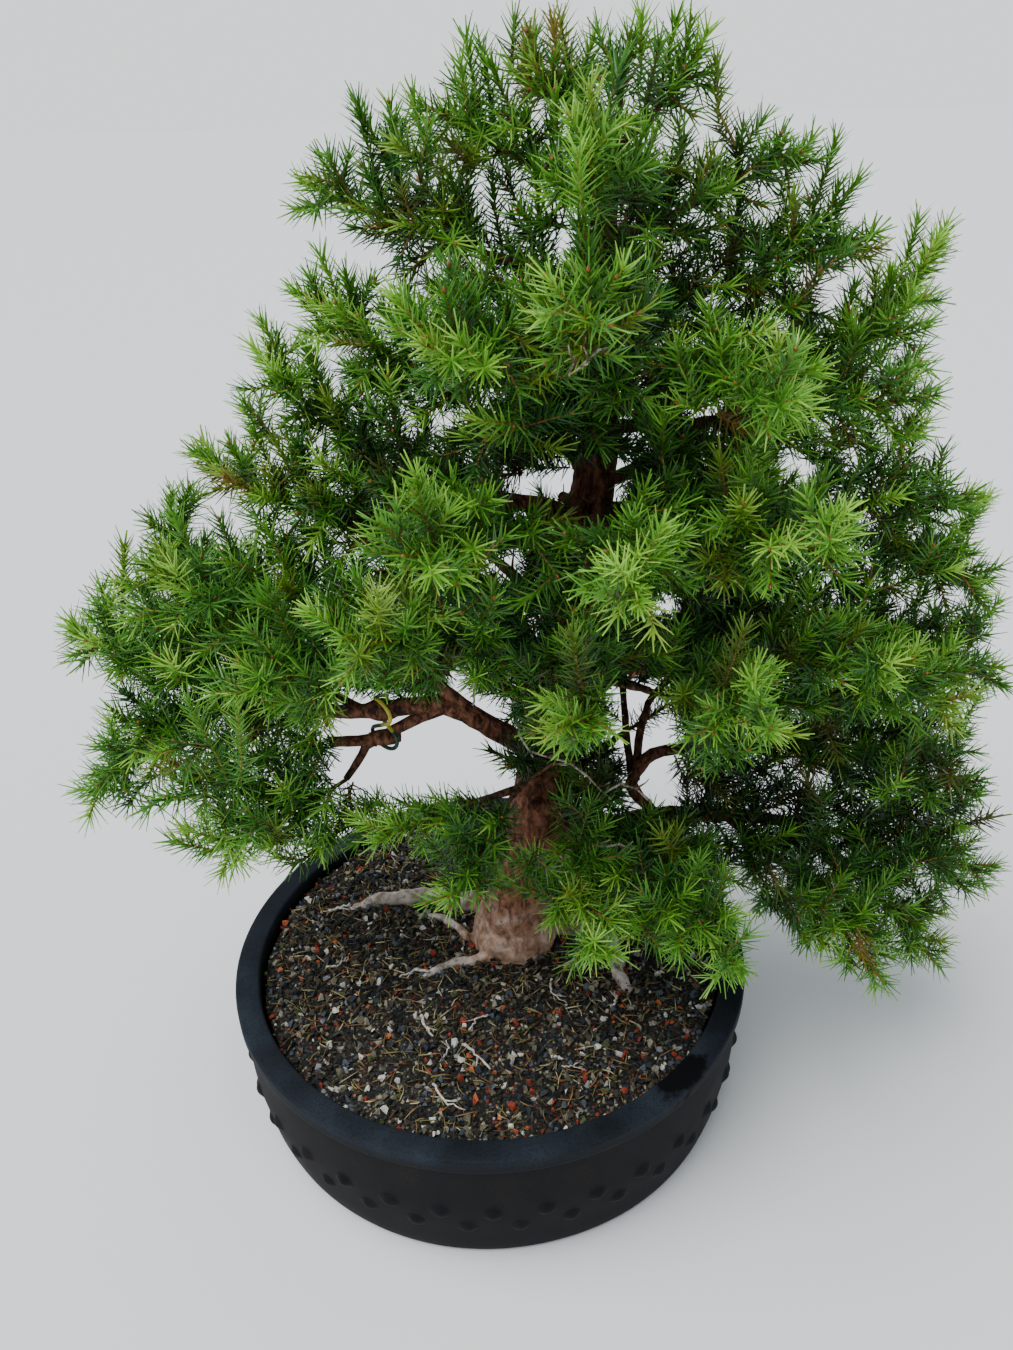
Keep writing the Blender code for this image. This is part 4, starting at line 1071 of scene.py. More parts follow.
def crown_spots(plan, room):
    """Places inside the crown's outline, which widens from each branch tip inwards."""
    rng = random.Random(51)
    middles, reaches = [], []
    for path, _, _ in plan.values():
        for place in np.arange(CROWN_STARTS * path.length, path.length, 6 * MM):
            middles.append(path.at(place))
            reaches.append(min(CROWN_REACH, CROWN_TIP + CROWN_TAPER * (path.length - place)))
    top = Vector(scaled(TRUNK[-1][:3]))
    for k in range(LEADER_STEPS):
        middles.append(Vector((top.x, top.y, top.z - k * 7 * MM)))
        reaches.append(LEADER_REACH)
    for x, y, z, radius in FULL_PARTS:
        middles.append(Vector(scaled((x, y, z))))
        reaches.append(radius * MM)
    tree = search_tree(middles)
    spots = []
    counts = [int((room.high[k] - room.low[k]) / FILL_PITCH) + 1 for k in range(3)]
    for i in range(counts[0]):
        for j in range(counts[1]):
            for k in range(counts[2]):
                spot = room.low + Vector((i, j, k)) * FILL_PITCH
                spot += Vector([rng.uniform(-0.5, 0.5) for _ in range(3)]) * FILL_PITCH
                near = tree.find_n(spot, 12)
                inside = any(distance < reaches[index] for _, index, distance in near)
                if inside and room.clear(spot) and not in_window(spot):
                    spots.append(spot)
    rng.shuffle(spots)
    return spots


def in_window(spot):
    """Whether the camera sees a place inside one of the views that stay open."""
    across, down = seen_at(spot)
    return any(
        low[0] < across < high[0] and low[1] < down < high[1] for low, high in OPEN_WINDOWS
    )


def seen_at(spot):
    """Where the camera sees a place, in the photo's own pixels."""
    right, top, ahead = camera_axes()
    ray = spot - Vector(CAMERA_PLACE)
    focal = CAMERA_LENS / SENSOR_HEIGHT * PHOTO_HEIGHT
    depth = ray.dot(ahead)
    return (PHOTO_WIDTH / 2 + focal * ray.dot(right) / depth,
            PHOTO_HEIGHT / 2 - focal * ray.dot(top) / depth)


def fill_crown(plan, shoots, room):
    """More shoots where the crown has gaps, each grown from a twig close by."""
    rng = random.Random(77)
    twigs = Twigs()
    for name, (path, wood, _) in plan.items():
        places = np.arange(0.25 * wood, wood, 5 * MM)
        if len(places) > 2:
            twigs.add_line([path.at(place) for place in places], name)
        for shoot in shoots[name]:
            twigs.add_line(shoot.points, name)
    twigs.balance()
    for start, end in LONG_SHOOTS:
        start, end = Vector(scaled(start)), Vector(scaled(end))
        point, index, distance = twigs.tree.find(start)
        owner = twigs.owners[index]
        line = Path([Vector(point), start, end] if distance > 4 * MM else [start, end])
        line = line.between(0, line.length, 6)
        shoots[owner].append(Shoot(line, *LONG_STEM, tone=0.12))
        twigs.add_line(line, owner)
    spots = crown_spots(plan, room)
    for start in range(0, len(spots), FILL_BATCH):
        twigs.balance()
        fresh = []
        for spot in spots[start:start + FILL_BATCH]:
            near = twigs.tree.find_n(spot, FILL_NEAREST)
            if near[0][2] < FILL_CLEAR or near[0][2] > FILL_REACH:
                continue
            if any((spot - other).length < FILL_CLEAR for other in fresh):
                continue
            for point, index, distance in near:
                way = (spot - point) / distance
                outward = Vector((point.x - CROWN_AXIS, point.y, 0)).normalized()
                if distance > FILL_SHORTEST and way.dot(twigs.ways[index]) > 0.1 \
                        and way.dot(outward) + way.z * 0.5 > -0.2:
                    break
            else:
                continue
            owner = twigs.owners[index]
            line = grown_line(Vector(point), way, distance, rng, 3)
            shoots[owner].append(Shoot(line, *FILL_STEM))
            twigs.add_line(line, owner)
            fresh.append(spot)


def toned(plan, shoots):
    """Each shoot's green: dark deep in the crown as painted shade, bright at its outside and in
    single bursts.
    """
    rng = random.Random(91)
    tips = search_tree([path.at(path.length) for path, _, _ in plan.values()])
    done = {}
    for name, own in shoots.items():
        outer_left = name.startswith("left_low")
        cool = rng.uniform(0.0, 0.10) + (0.07 if outer_left else 0.0)
        bright = rng.uniform(-0.07, 0.07) + (0.05 if outer_left else 0.0)
        longer = 1.14 if outer_left else 1.02
        done[name] = []
        for shoot in own:
            end = shoot.points[-1]
            # painted shade: the further a shoot's end is from the nearest branch tip, the darker
            # its green
            depth = min(1.0, tips.find(end)[2] / DARKEST_DEPTH)
            high = clipped((end.z - 0.1) / 0.4)
            tone = OUTER_TONE - DEPTH_SHADE * depth - HEIGHT_DARKENS * high + bright
            tone += rng.uniform(-TONE_SPREAD, TONE_SPREAD)
            tone += shoot.tone
            burst = BURST_TONE if rng.random() < BURST_SHARE else 0.0
            yellow = rng.random() < YELLOW_SHARE
            done[name].append(shoot._replace(
                tone=min(0.95, max(0.05, tone + burst)),
                blue=0.0 if yellow else max(0.0, cool + rng.uniform(-0.15, 0.13) - burst),
                dead=0.75 if rng.random() < DEAD_SHARE else (0.22 if yellow else 0.0),
                reach=shoot.reach * (longer - 0.13 * clipped((end.z - 0.14) / 0.14)),
            ))
    return done


def needle_shape():
    """One needle along +Z: a straight three-sided blade with a blunt tip."""
    wide, thick = NEEDLE_WIDTH / 2, 0.4 * NEEDLE_WIDTH
    points = [
        (-wide, -thick, 0), (wide, -thick, 0), (0, thick, 0),
        (-0.42 * wide, 0, NEEDLE_LENGTH), (0.42 * wide, 0, NEEDLE_LENGTH),
    ]
    faces = [(0, 1, 4), (0, 4, 3), (1, 2, 4), (2, 0, 3), (2, 3, 4)]
    return new_piece("needle_shape", points, faces, [], {"needle_share": [0, 0, 0, 1, 1]},
                     smooth=False)


def bud_shape():
    """One winter bud along +Z."""
    shell = Shell()
    wide, tall = 0.85 * MM, 2.6 * MM
    points = [Vector((0, 0, -0.5 * MM))]
    for k in range(4):
        turn = k * math.pi / 2
        points.append(Vector((wide * math.cos(turn), wide * math.sin(turn), 0.3 * tall)))
    points.append(Vector((0, 0, tall)))
    faces = [(0, 1 + (k + 1) % 4, 1 + k) for k in range(4)]
    faces += [(5, 1 + k, 1 + (k + 1) % 4) for k in range(4)]
    shell.extend(points, faces, needle_share=[0.5] * 6)
    return new_piece("bud_shape", shell.points, shell.faces, [], shell.values)


def copying_tree(name, inputs, result):
    """A new geometry tree with named inputs and one result, its inputs' keys and their sockets."""
    tree = bpy.data.node_groups.new(name, "GeometryNodeTree")
    ids = {}
    for label, kind, value in inputs:
        item = tree.interface.new_socket(label, in_out="INPUT", socket_type="NodeSocket" + kind)
        if value is not None:
            item.default_value = value
        ids[label] = item.identifier
    tree.interface.new_socket(result, in_out="OUTPUT", socket_type="NodeSocketGeometry")
    return tree, ids, add(tree, "NodeGroupInput").outputs


def stems_along(tree, given, lines, girth, finish):
    """Three-sided stems along the shoots, as thick as each shoot's girth."""
    steps = add(tree, "GeometryNodeResampleCurve", {"Curve": lines,
                                                    "Length": given["Stem step"]}, mode="LENGTH")
    ring = add(tree, "GeometryNodeCurvePrimitiveCircle", {"Resolution": 3, "Radius": 1.0})
    sized = add(tree, "GeometryNodeSetCurveRadius", {"Curve": steps,
                                                     "Radius": girth})
    stems = add(tree, "GeometryNodeCurveToMesh", {"Curve": sized,
                                                  "Profile Curve": ring,
                                                  "Scale": girth, "Fill Caps": True})
    stems = add(tree, "GeometryNodeSetMaterial", {"Geometry": stems,
                                                  "Material": finish})
    return stems


def needle_turn(tree, given, along, on_tangent):
    """Each needle's turn: round its shoot in a spiral, leaning to the tip, and a little upwards."""
    index = add(tree, "GeometryNodeInputIndex")
    jitter = add(tree, "FunctionNodeRandomValue", {2: -0.3, 3: 0.3, "Seed": given["Seed"]},
                 data_type="FLOAT")
    turn = add(tree, "ShaderNodeMath", {0: index, 1: given["Spiral step"],
                                        2: jitter}, operation="MULTIPLY_ADD")
    spin = add(tree, "FunctionNodeAxisAngleToRotation", {"Axis": (0, 0, 1),
                                                         "Angle": turn})
    spun = add(tree, "FunctionNodeRotateRotation", {0: on_tangent, 1: spin}, rotation_space="LOCAL")
    lean = add(tree, "ShaderNodeMapRange", {0: along, 1: 0.35, 2: 1.0,
                                            3: given["Lean at base"], 4: given["Lean at tip"]})
    second_seed = add(tree, "ShaderNodeMath", {0: given["Seed"], 1: 17.0}, operation="ADD")
    sway = add(tree, "FunctionNodeRandomValue", {2: -1.0, 3: 1.0, "Seed": second_seed},
               data_type="FLOAT")
    swayed = add(tree, "ShaderNodeMath", {0: sway, 1: given["Lean spread"],
                                          2: lean}, operation="MULTIPLY_ADD")
    tilt = add(tree, "FunctionNodeAxisAngleToRotation", {"Axis": (1, 0, 0),
                                                         "Angle": swayed})
    tilted = add(tree, "FunctionNodeRotateRotation", {0: spun, 1: tilt}, rotation_space="LOCAL")
    lifted = add(tree, "FunctionNodeAlignRotationToVector",
                 {"Rotation": tilted, "Factor": given["Lift"], "Vector": (0, 0, 1)},
                 axis="Z")
    return lifted


def needle_scale(tree, along, reach, third_seed):
    """Each needle's size: uneven, by its shoot's reach, and shorter at the shoot's end."""
    size = add(tree, "FunctionNodeRandomValue", {2: 0.78, 3: 1.08, "Seed": third_seed},
               data_type="FLOAT")
    shorter = add(tree, "ShaderNodeMapRange", {0: along, 1: 0.86, 2: 1.0, 3: 1.0, 4: 0.82})
    sized_by = add(tree, "ShaderNodeMath", {0: size, 1: shorter}, operation="MULTIPLY")
    scaled_by = add(tree, "ShaderNodeMath", {0: sized_by, 1: reach}, operation="MULTIPLY")
    return add(tree, "ShaderNodeCombineXYZ", {0: 1.0, 1: 1.0, 2: scaled_by})


def needle_tree(finishes):
    """Needles in a spiral along every shoot, its stem, and a bud at its end."""
    tree, ids, given = copying_tree("needles_on_shoots", (
        ("Shoot lines", "Geometry", None),
        ("Needle", "Object", None),
        ("Bud", "Object", None),
        ("Needle spacing", "Float", NEEDLE_SPACING),
        ("Stem step", "Float", 11 * MM),
        ("Lean at base", "Float", math.radians(68)),
        ("Lean at tip", "Float", math.radians(35)),
        ("Lean spread", "Float", math.radians(9)),
        ("Lift", "Float", 0.06),
        ("Spiral step", "Float", math.radians(137.5)),
        ("Share with buds", "Float", 0.25),
        ("Seed", "Int", 1),
    ), "Foliage")

    lines = add(tree, "GeometryNodeMeshToCurve", {0: given["Shoot lines"]})
    girth, along, reach = [
        add(tree, "GeometryNodeInputNamedAttribute", {"Name": name}, data_type="FLOAT")
        for name in ("girth", "along", "reach")
    ]

    stems = stems_along(tree, given, lines, girth, finishes["shoot"])
    close = add(tree, "GeometryNodeResampleCurve", {"Curve": lines,
                                                    "Length": given["Needle spacing"]},
                mode="LENGTH")
    spots = add(tree, "GeometryNodeCurveToPoints", {0: close}, mode="EVALUATED")
    on_tangent = add(tree, "FunctionNodeAlignRotationToVector",
                     {"Vector": spots.outputs["Tangent"]}, axis="Z")
    turn = needle_turn(tree, given, along, on_tangent)
    third_seed = add(tree, "ShaderNodeMath", {0: given["Seed"], 1: 31.0}, operation="ADD")
    scale = needle_scale(tree, along, reach, third_seed)
    past_base = add(tree, "FunctionNodeCompare", {0: along, 1: 0.07},
                    data_type="FLOAT", operation="GREATER_THAN")
    needle_info = add(tree, "GeometryNodeObjectInfo", {"Object": given["Needle"]})
    needles = add(tree, "GeometryNodeInstanceOnPoints", {
        "Points": spots, "Selection": past_base, "Rotation": turn, "Scale": scale,
        "Instance": needle_info.outputs["Geometry"],
    })
    luck = add(tree, "FunctionNodeRandomValue", {2: 0.0, 3: 1.0, "Seed": given["Seed"]},
               data_type="FLOAT")
    marked = add(tree, "GeometryNodeStoreNamedAttribute",
                 {"Geometry": needles, "Name": "vary", "Value": luck},
                 data_type="FLOAT", domain="INSTANCE")
    needles = add(tree, "GeometryNodeSetMaterial", {"Geometry": marked,
                                                    "Material": finishes["needle"]})
    at_end = add(tree, "FunctionNodeCompare", {0: along, 1: 0.9999},
                 data_type="FLOAT", operation="GREATER_THAN")
    budded = add(tree, "FunctionNodeRandomValue", {"Probability": given["Share with buds"],
                                                   "Seed": third_seed},
                 data_type="BOOLEAN")
    at_end = add(tree, "FunctionNodeBooleanMath", {0: at_end, 1: budded})
    bud_info = add(tree, "GeometryNodeObjectInfo", {"Object": given["Bud"]})
    buds = add(tree, "GeometryNodeInstanceOnPoints", {
        "Points": spots, "Selection": at_end,
        "Instance": bud_info.outputs["Geometry"], "Rotation": on_tangent,
    })
    buds = add(tree, "GeometryNodeSetMaterial", {"Geometry": buds, "Material": finishes["bud"]})
    joined = add(tree, "GeometryNodeJoinGeometry")
    for part in (stems, needles, buds):
        feed(joined, {0: part})
    real = add(tree, "GeometryNodeRealizeInstances", {0: joined})
    add(tree, "NodeGroupOutput", {0: real})
    return tree, ids


def shoot_lines(name, shoots):
    """The shoots as loose lines with what the needle tree reads at each point."""
    points, edges = [], []
    values = {label: [] for label in ("along", "girth", "tone", "blue", "age", "dead", "reach")}
    for shoot in shoots:
        last = len(shoot.points) - 1
        for k, point in enumerate(shoot.points):
            if k:
                edges.append((len(points) - 1, len(points)))
            points.append(tuple(point))
            share = k / last
            values["along"].append(share)
            values["girth"].append(shoot.radius * (1 - 0.45 * share))
            values["tone"].append(shoot.tone + 0.30 * (share - 0.6))
            values["blue"].append(shoot.blue)
            values["age"].append(max(0.0, shoot.age - 0.35 * share))
            values["dead"].append(shoot.dead)
            values["reach"].append(shoot.reach)
    return new_piece(name, points, [], [], values, edges)


def made_plain(obj, tree, inputs):
    """The tree's result on the object as a plain mesh object of the same name."""
    name = obj.name
    modifier = obj.modifiers.new("build", "NODES")
    modifier.node_group = tree
    for identifier, value in inputs.items():
        modifier[identifier] = value
    graph = bpy.context.evaluated_depsgraph_get()
    data = bpy.data.meshes.new_from_object(obj.evaluated_get(graph), depsgraph=graph)
    bpy.data.objects.remove(obj)
    data.name = name
    return shown(bpy.data.objects.new(name, data))


def dress_sprays(plan, room, finishes):
    """One fine piece for each CAD spray."""
    shoots = {}
    for rank, (name, (path, wood, _)) in enumerate(plan.items()):
        shoots[name] = spray_shoots(path, wood, rank, room)
        shoots[name] += inner_shoots(path, wood, rank, room)
        shoots[name] += rising_shoots(path, wood, rank, room)
    fill_crown(plan, shoots, room)
    for name, own in shoots.items():
        shoots[name] = own[:1] + [shoot for shoot in own[1:]
                                  if not in_window(shoot.points[len(shoot.points) // 2])]
    shoots = toned(plan, shoots)
    needle, bud = needle_shape(), bud_shape()
    tree, ids = needle_tree(finishes)
    for rank, (name, own) in enumerate(shoots.items()):
        piece = made_plain(shoot_lines("fine_spray_" + name, own), tree, {
            ids["Needle"]: needle, ids["Bud"]: bud, ids["Seed"]: NEEDLE_SEED + rank,
        })
        place_piece(piece, "needles", "spray_" + name)
    bpy.data.objects.remove(needle)
    bpy.data.objects.remove(bud)


# Wood

def uneven(points, rng, amount):
    """The same path, shaken a little off its line except at its ends."""
    shaken = [points[0]]
    for point in points[1:-1]:
        shaken.append(point + Vector([rng.uniform(-amount, amount) for _ in range(3)]))
    return shaken + [points[-1]]


def trunk_core():
    """The thick wood as overlapping tubes and balls, for one voxel skin."""
    shell = Shell()
    path = Path([scaled(row[:3]) for row in TRUNK])
    places = path.between(0, path.length, 120)
    _, _, heights, radii = np.array(TRUNK).T * MM
    shell.tube(places, [float(np.interp(place.z, heights, radii)) for place in places], 24)
    rng = random.Random(21)
    for x, y, z, radius in BURLS:
        for k in range(5):
            ball = bmesh.new()
            size = radius * MM * (1 if k == 0 else rng.uniform(0.35, 0.6))
            shift = Vector([rng.uniform(-1, 1) for _ in range(3)]).normalized()
            shift *= 0 if k == 0 else radius * MM * 0.72
            bmesh.ops.create_icosphere(ball, subdivisions=3, radius=size)
            middle = Vector(scaled((x, y, z))) + shift
            shell.extend([vert.co + middle for vert in ball.verts],
                         [[vert.index for vert in face.verts] for face in ball.faces])
            ball.free()
    for points, radius in ROOTS:
        line = Path([scaled(point) for point in points])
        count = int(line.length / (4 * MM))
        places = uneven(line.between(0, line.length, count), rng, 0.7 * MM)
        sizes = [
            radius * MM * (1 - ROOT_NARROWING * k / (count - 1)) * rng.uniform(0.86, 1.14)
            for k in range(count)
        ]
        shell.tube(places, sizes, 12)
    return shell


def thick_skin(shell):
    """One closed skin over the overlapping tubes: its points, their normals and its faces."""
    raw = new_piece("raw_wood", shell.points, shell.faces, [])
    remesh = raw.modifiers.new("skin", "REMESH")
    remesh.mode = "VOXEL"
    remesh.voxel_size = SKIN_VOXEL
    remesh.adaptivity = 0.0
    graph = bpy.context.evaluated_depsgraph_get()
    data = bpy.data.meshes.new_from_object(raw.evaluated_get(graph), depsgraph=graph)
    bpy.data.objects.remove(raw)
    columns = []
    for label in ("co", "normal"):
        column = np.empty(len(data.vertices) * 3, np.float32)
        data.vertices.foreach_get(label, column)
        columns.append(column.reshape(-1, 3))
    faces = [tuple(face.vertices) for face in data.polygons]
    bpy.data.meshes.remove(data)
    return *columns, faces


def bark_height(place, foot):
    """How far the bark stands out, in metres: scales above, soft lumps at the foot."""
    tall = Vector((place.x, place.y, place.z * 0.62))
    ridge = 1 - abs(noise.noise(tall / BARK_SCALE)) * 2
    small = noise.noise(tall / BARK_CRUMB)
    lump = noise.noise(place / FOOT_LUMP)
    rough = (0.42 * ridge + 0.34 * small) * MM
    smooth = (0.9 * lump + 0.18 * ridge + 0.12 * small) * MM
    return rough * (1 - foot) + smooth * foot


def add_thick_wood(shell):
    """The trunk and the roots: their skin, pushed out by the bark, with what the finish reads."""
    points, normals, faces = thick_skin(trunk_core())
    moved, foot_share, root_share, thin_share, crack_share = [], [], [], [], []
    for point, normal in zip(points, normals):
        place = Vector(point)
        foot = clipped((FOOT_TOP - place.z) / FOOT_FADE)
        lift = bark_height(place, foot)
        radius = trunk_place(place.z / MM)[3]
        lift *= min(1.0, 0.35 + radius / (14 * MM))
        moved.append(place + Vector(normal) * lift)
        foot_share.append(foot)
        middle = math.hypot(place.x - 14 * MM, place.y - 7 * MM)
        root_share.append(clipped((middle - 27 * MM) / (12 * MM)) * foot)
        thin_share.append(clipped((place.z - THIN_STARTS) / THIN_FADE))
        crack_share.append(clipped(-lift / (0.5 * MM) - 0.5, 0.6) * (1 - 0.6 * foot))
    shell.extend(moved, faces, foot=foot_share, root=root_share, thin=thin_share,
                 crack=crack_share)


def add_branches(shell, plan):
    """Each branch's wood, which keeps halfway between the solid's straight runs and its curve."""
    rng = random.Random(33)
    for rank, (path, wood, radius) in enumerate(plan.values()):
        if wood <= 0:
            continue
        count = max(4, int(wood / BARK_RING))
        line, _ = wood_points(path, wood, radius)
        places = [on_line(line, k / (count - 1))[0].lerp(path.at(wood * k / (count - 1)), 0.5)
                  for k in range(count)]
        radii = [wood_radius(radius, k / (count - 1)) * rng.uniform(0.93, 1.09)
                 for k in range(count)]
        shell.tube(uneven(places, rng, 0.35 * MM), radii, 9 if radius > 4 * MM else 7, 0.16,
                   seed=rank * 0.1, foot=0.0, root=0.0, crack=0.0,
                   thin=[clipped(1.2 - size / (3.4 * MM)) for size in radii])


def add_stubs(shell):
    """The cut stubs, and the thick wood inside the tie's two loops."""
    for start, end, radius in STUBS:
        line = [Vector(scaled(start)).lerp(Vector(scaled(end)), k / 5) for k in range(6)]
        shell.tube(line, [radius * MM * (1 - 0.04 * k) for k in range(6)], 10, 0.2,
                   foot=0.0, root=0.0, thin=0.2, crack=0.0)
    for middle, reach in zip((TIE_UPPER, TIE_LOWER), TIE_REACHES):
        middle, size = Vector(scaled(middle)), reach - TIE_RADIUS - 0.35 * MM
        line = [middle + Vector((k * 2.6 * MM, 0, 0)) for k in range(-3, 4)]
        radii = [size * (1 - 0.045 * k * k) for k in range(-3, 4)]
        shell.tube(line, radii, 14, 0.06, foot=0.0, root=0.0, thin=0.2, crack=0.0)


def make_wood(plan, bark):
    """Trunk, surface roots, branches and stubs as the fine piece for the CAD's wood."""
    shell = Shell()
    add_thick_wood(shell)
    add_branches(shell, plan)
    add_stubs(shell)
    obj = new_piece("fine_wood", shell.points, shell.faces, [bark], shell.values)
    return place_piece(obj, "bark", "trunk")


def make_bare_twigs(plan, room, finish):
    """Dead forked twigs without needles, which stand inside the crown; their dark colour is partly
    painted shade of the crown's inside.
    """
    rng = random.Random(29)
    shell = Shell()
    for path, wood, _ in plan.values():
        for _ in range(int(wood / (24 * MM))):
            place = wood * rng.uniform(0.25, 1.0)
            root, along = path.at(place), path.direction(place)
            way = side_way(along, 0.1, rng.uniform(0, 2 * math.pi), rng)
            length = rng.uniform(16, 40) * MM
            line = uneven(grown_line(root, way, length, rng, 5), rng, 1.2 * MM)
            if in_window(line[3]) or not room.clear(line[-1]):
                continue
            shade, thick = rng.random(), rng.uniform(0.45, 0.85) * MM
            shell.tube(line, [thick * (1 - 0.13 * j) for j in range(6)], 5, 0.3, vary=shade)
            for start in (2, 3, 4):
                fork = side_way(way, 0.3, rng.uniform(0, 2 * math.pi), rng)
                small = grown_line(line[start], fork, length * rng.uniform(0.2, 0.45), rng, 3)
                small = uneven(small, rng, 0.7 * MM)
                shell.tube(small, [thick * (0.6 - 0.14 * j) for j in range(4)], 4, 0.2, vary=shade)
    grown = [path.at(place) for path, _, _ in plan.values()
             for place in np.arange(0, path.length, 3 * MM)]
    for start, end in PALE_TWIGS:
        start, end = Vector(scaled(start)), Vector(scaled(end))
        nearest = min(grown, key=lambda point: (point - start).length)
        path = Path([nearest, start, end])
        line = uneven(path.between(0, path.length, 8), rng, 1.1 * MM)
        crusts = [0.3, 0.4, 0.55, 0.7, 0.85, 0.95, 0.8, 0.95]
        shell.tube(line, [(0.8 - 0.05 * j) * MM for j in range(8)], 5, 0.5, vary=crusts)
        for j in range(3, 8):
            way = side_way((end - start).normalized(), 0.2, j * SPIRAL_TURN, rng)
            small = uneven(grown_line(line[j], way, rng.uniform(4, 8) * MM, rng, 3), rng, 0.5 * MM)
            shell.tube(small, [0.5 * MM, 0.44 * MM, 0.36 * MM, 0.25 * MM], 4, 0.3,
                       vary=[0.9, 0.7, 0.85, 0.95])
    obj = new_piece("bare_twigs", shell.points, shell.faces, [finish], shell.values)
    return place_piece(obj, "bark")


# Pot

def pot_profile():
    """Half the pot's section, from the rim's inner edge round the outside to the inside floor."""
    inner = RIM_RADIUS - RIM_WIDTH
    top = POT_HEIGHT
    low_lip = POT_HEIGHT - LIP_HEIGHT
    rows = [
        (inner, top - 1.8 * MM), (inner + 0.3 * MM, top - 0.8 * MM),
        (inner + 0.9 * MM, top - 0.2 * MM), (inner + 1.7 * MM, top), (inner + 7 * MM, top),
        (RIM_RADIUS - 1.7 * MM, top),
        (RIM_RADIUS - 0.8 * MM, top - 0.25 * MM), (RIM_RADIUS - 0.25 * MM, top - 0.8 * MM),
        (RIM_RADIUS - 0.1 * MM, top - 1.6 * MM), (RIM_RADIUS - 0.1 * MM, low_lip + 1.6 * MM),
        (RIM_RADIUS - 0.3 * MM, low_lip + 0.7 * MM), (RIM_RADIUS - 0.8 * MM, low_lip + 0.1 * MM),
        (RIM_RADIUS - 1.6 * MM, low_lip - 0.2 * MM), (BODY_RADIUS, low_lip - 0.8 * MM),
    ]
    for k in range(1, 9):
        share = k / 8
        height = (low_lip - 0.8 * MM) * (1 - share) + 12 * MM * share
        rows.append((wall_radius(height), height))
    rows += [
        (BASE_RADIUS + 2.2 * MM, 7 * MM), (BASE_RADIUS + 0.9 * MM, 2.4 * MM),
        (BASE_RADIUS - 0.4 * MM, 0.6 * MM), (BASE_RADIUS - 2 * MM, 0.0),
        (0, 0), (0, FLOOR), (inner - 8 * MM, FLOOR), (inner - 3 * MM, FLOOR + 2.4 * MM),
        (inner - 1 * MM, FLOOR + 8 * MM),
    ]
    return rows


def wall_radius(height):
    """The outer wall's radius at a height."""
    outer = ((0, BASE_RADIUS), (12 * MM, BASE_RADIUS + 3.4 * MM), (36 * MM, BODY_RADIUS - 0.6 * MM),
             (POT_HEIGHT - LIP_HEIGHT, BODY_RADIUS))
    return float(np.interp(height, [z for z, r in outer], [r for z, r in outer]))


def boss_patch(angle, height):
    """A nail head pressed out of the wall: a soft dome whose rim dips below the surface."""
    rings, sides = 6, 16
    out = Vector((math.cos(angle), math.sin(angle), 0))
    side = UP.cross(out)
    wide = 1.25 * BOSS_RADIUS
    points = []

    def place(u, v, lift):
        """A point of the wall, moved along it by u, up by v and out by lift."""
        level = height + v
        turn = u / wall_radius(level)
        ray = out * math.cos(turn) + side * math.sin(turn)
        return ray * (wall_radius(level) + lift) + UP * level

    points.append(place(0, 0, BOSS_PROUD))
    for ring in range(1, rings + 1):
        share = ring / rings
        lift = (BOSS_PROUD + 0.3 * MM) * (0.5 + 0.5 * math.cos(math.pi * share ** 1.15)) - 0.3 * MM
        for k in range(sides):
            turn = 2 * math.pi * k / sides
            points.append(place(share * wide * math.cos(turn), share * wide * math.sin(turn), lift))
    points.append(place(0, 0, -1.5 * MM))
    last = len(points) - 1
    faces = [(0, 1 + k, 1 + (k + 1) % sides) for k in range(sides)]
    for ring in range(rings - 1):
        base = 1 + ring * sides
        for k in range(sides):
            after = (k + 1) % sides
            faces.append((base + k, base + sides + k, base + sides + after, base + after))
    base = 1 + (rings - 1) * sides
    faces += [(last, base + (k + 1) % sides, base + k) for k in range(sides)]
    return points, faces


def make_pot(stoneware):
    """The drum pot with its rim and two staggered rows of nail heads. Its floor is closed here."""
    shell = Shell()
    rows = pot_profile()
    turns = [2 * math.pi * k / POT_STEPS for k in range(POT_STEPS)]
    points = []
    starts = []
    for radius, height in rows:
        starts.append(len(points))
        if radius == 0:
            points.append(Vector((0, 0, height)))
            continue
        for turn in turns:
            across, aside = math.cos(turn), math.sin(turn)
            wave = 0.25 * MM * noise.noise(Vector((across, aside, height * 20)) * 2)
            outside = 0 < height < POT_HEIGHT and radius > RIM_RADIUS - 12 * MM
            reach = radius + (wave if outside else 0)
            points.append(Vector((reach * across, reach * aside, height)))
    faces = []
    count = len(rows)
    for k in range(count):
        low, high = starts[k], starts[(k + 1) % count]
        low_pole, high_pole = rows[k][0] == 0, rows[(k + 1) % count][0] == 0
        if low_pole and high_pole:
            continue
        for turn in range(POT_STEPS):
            after = (turn + 1) % POT_STEPS
            if high_pole:
                faces.append((low + turn, high, low + after))
            elif low_pole:
                faces.append((low, high + turn, high + after))
            else:
                faces.append((low + turn, high + turn, high + after, low + after))
    shell.extend(points, faces)
    for row, height in enumerate(BOSS_ROWS):
        for k in range(BOSS_COUNT):
            angle = -math.pi / 2 + (k + 0.5 * (row + 1)) * 2 * math.pi / BOSS_COUNT
            shell.extend(*boss_patch(angle, height))
    obj = new_piece("fine_pot", shell.points, shell.faces, [stoneware], shell.values)
    turned = bmesh.new()
    turned.from_mesh(obj.data)
    bmesh.ops.recalc_face_normals(turned, faces=turned.faces)
    turned.to_mesh(obj.data)
    turned.free()
    obj.data.set_sharp_from_angle(angle=math.radians(50))
    return place_piece(obj, "stoneware", "pot")


# Soil

def soil_height(x, y):
    """The soil's top, which is highest in the middle."""
    share = min(1.0, math.hypot(x, y) / (RIM_RADIUS - RIM_WIDTH))
    return SOIL_EDGE + SOIL_MOUND * (1 - share ** 2)


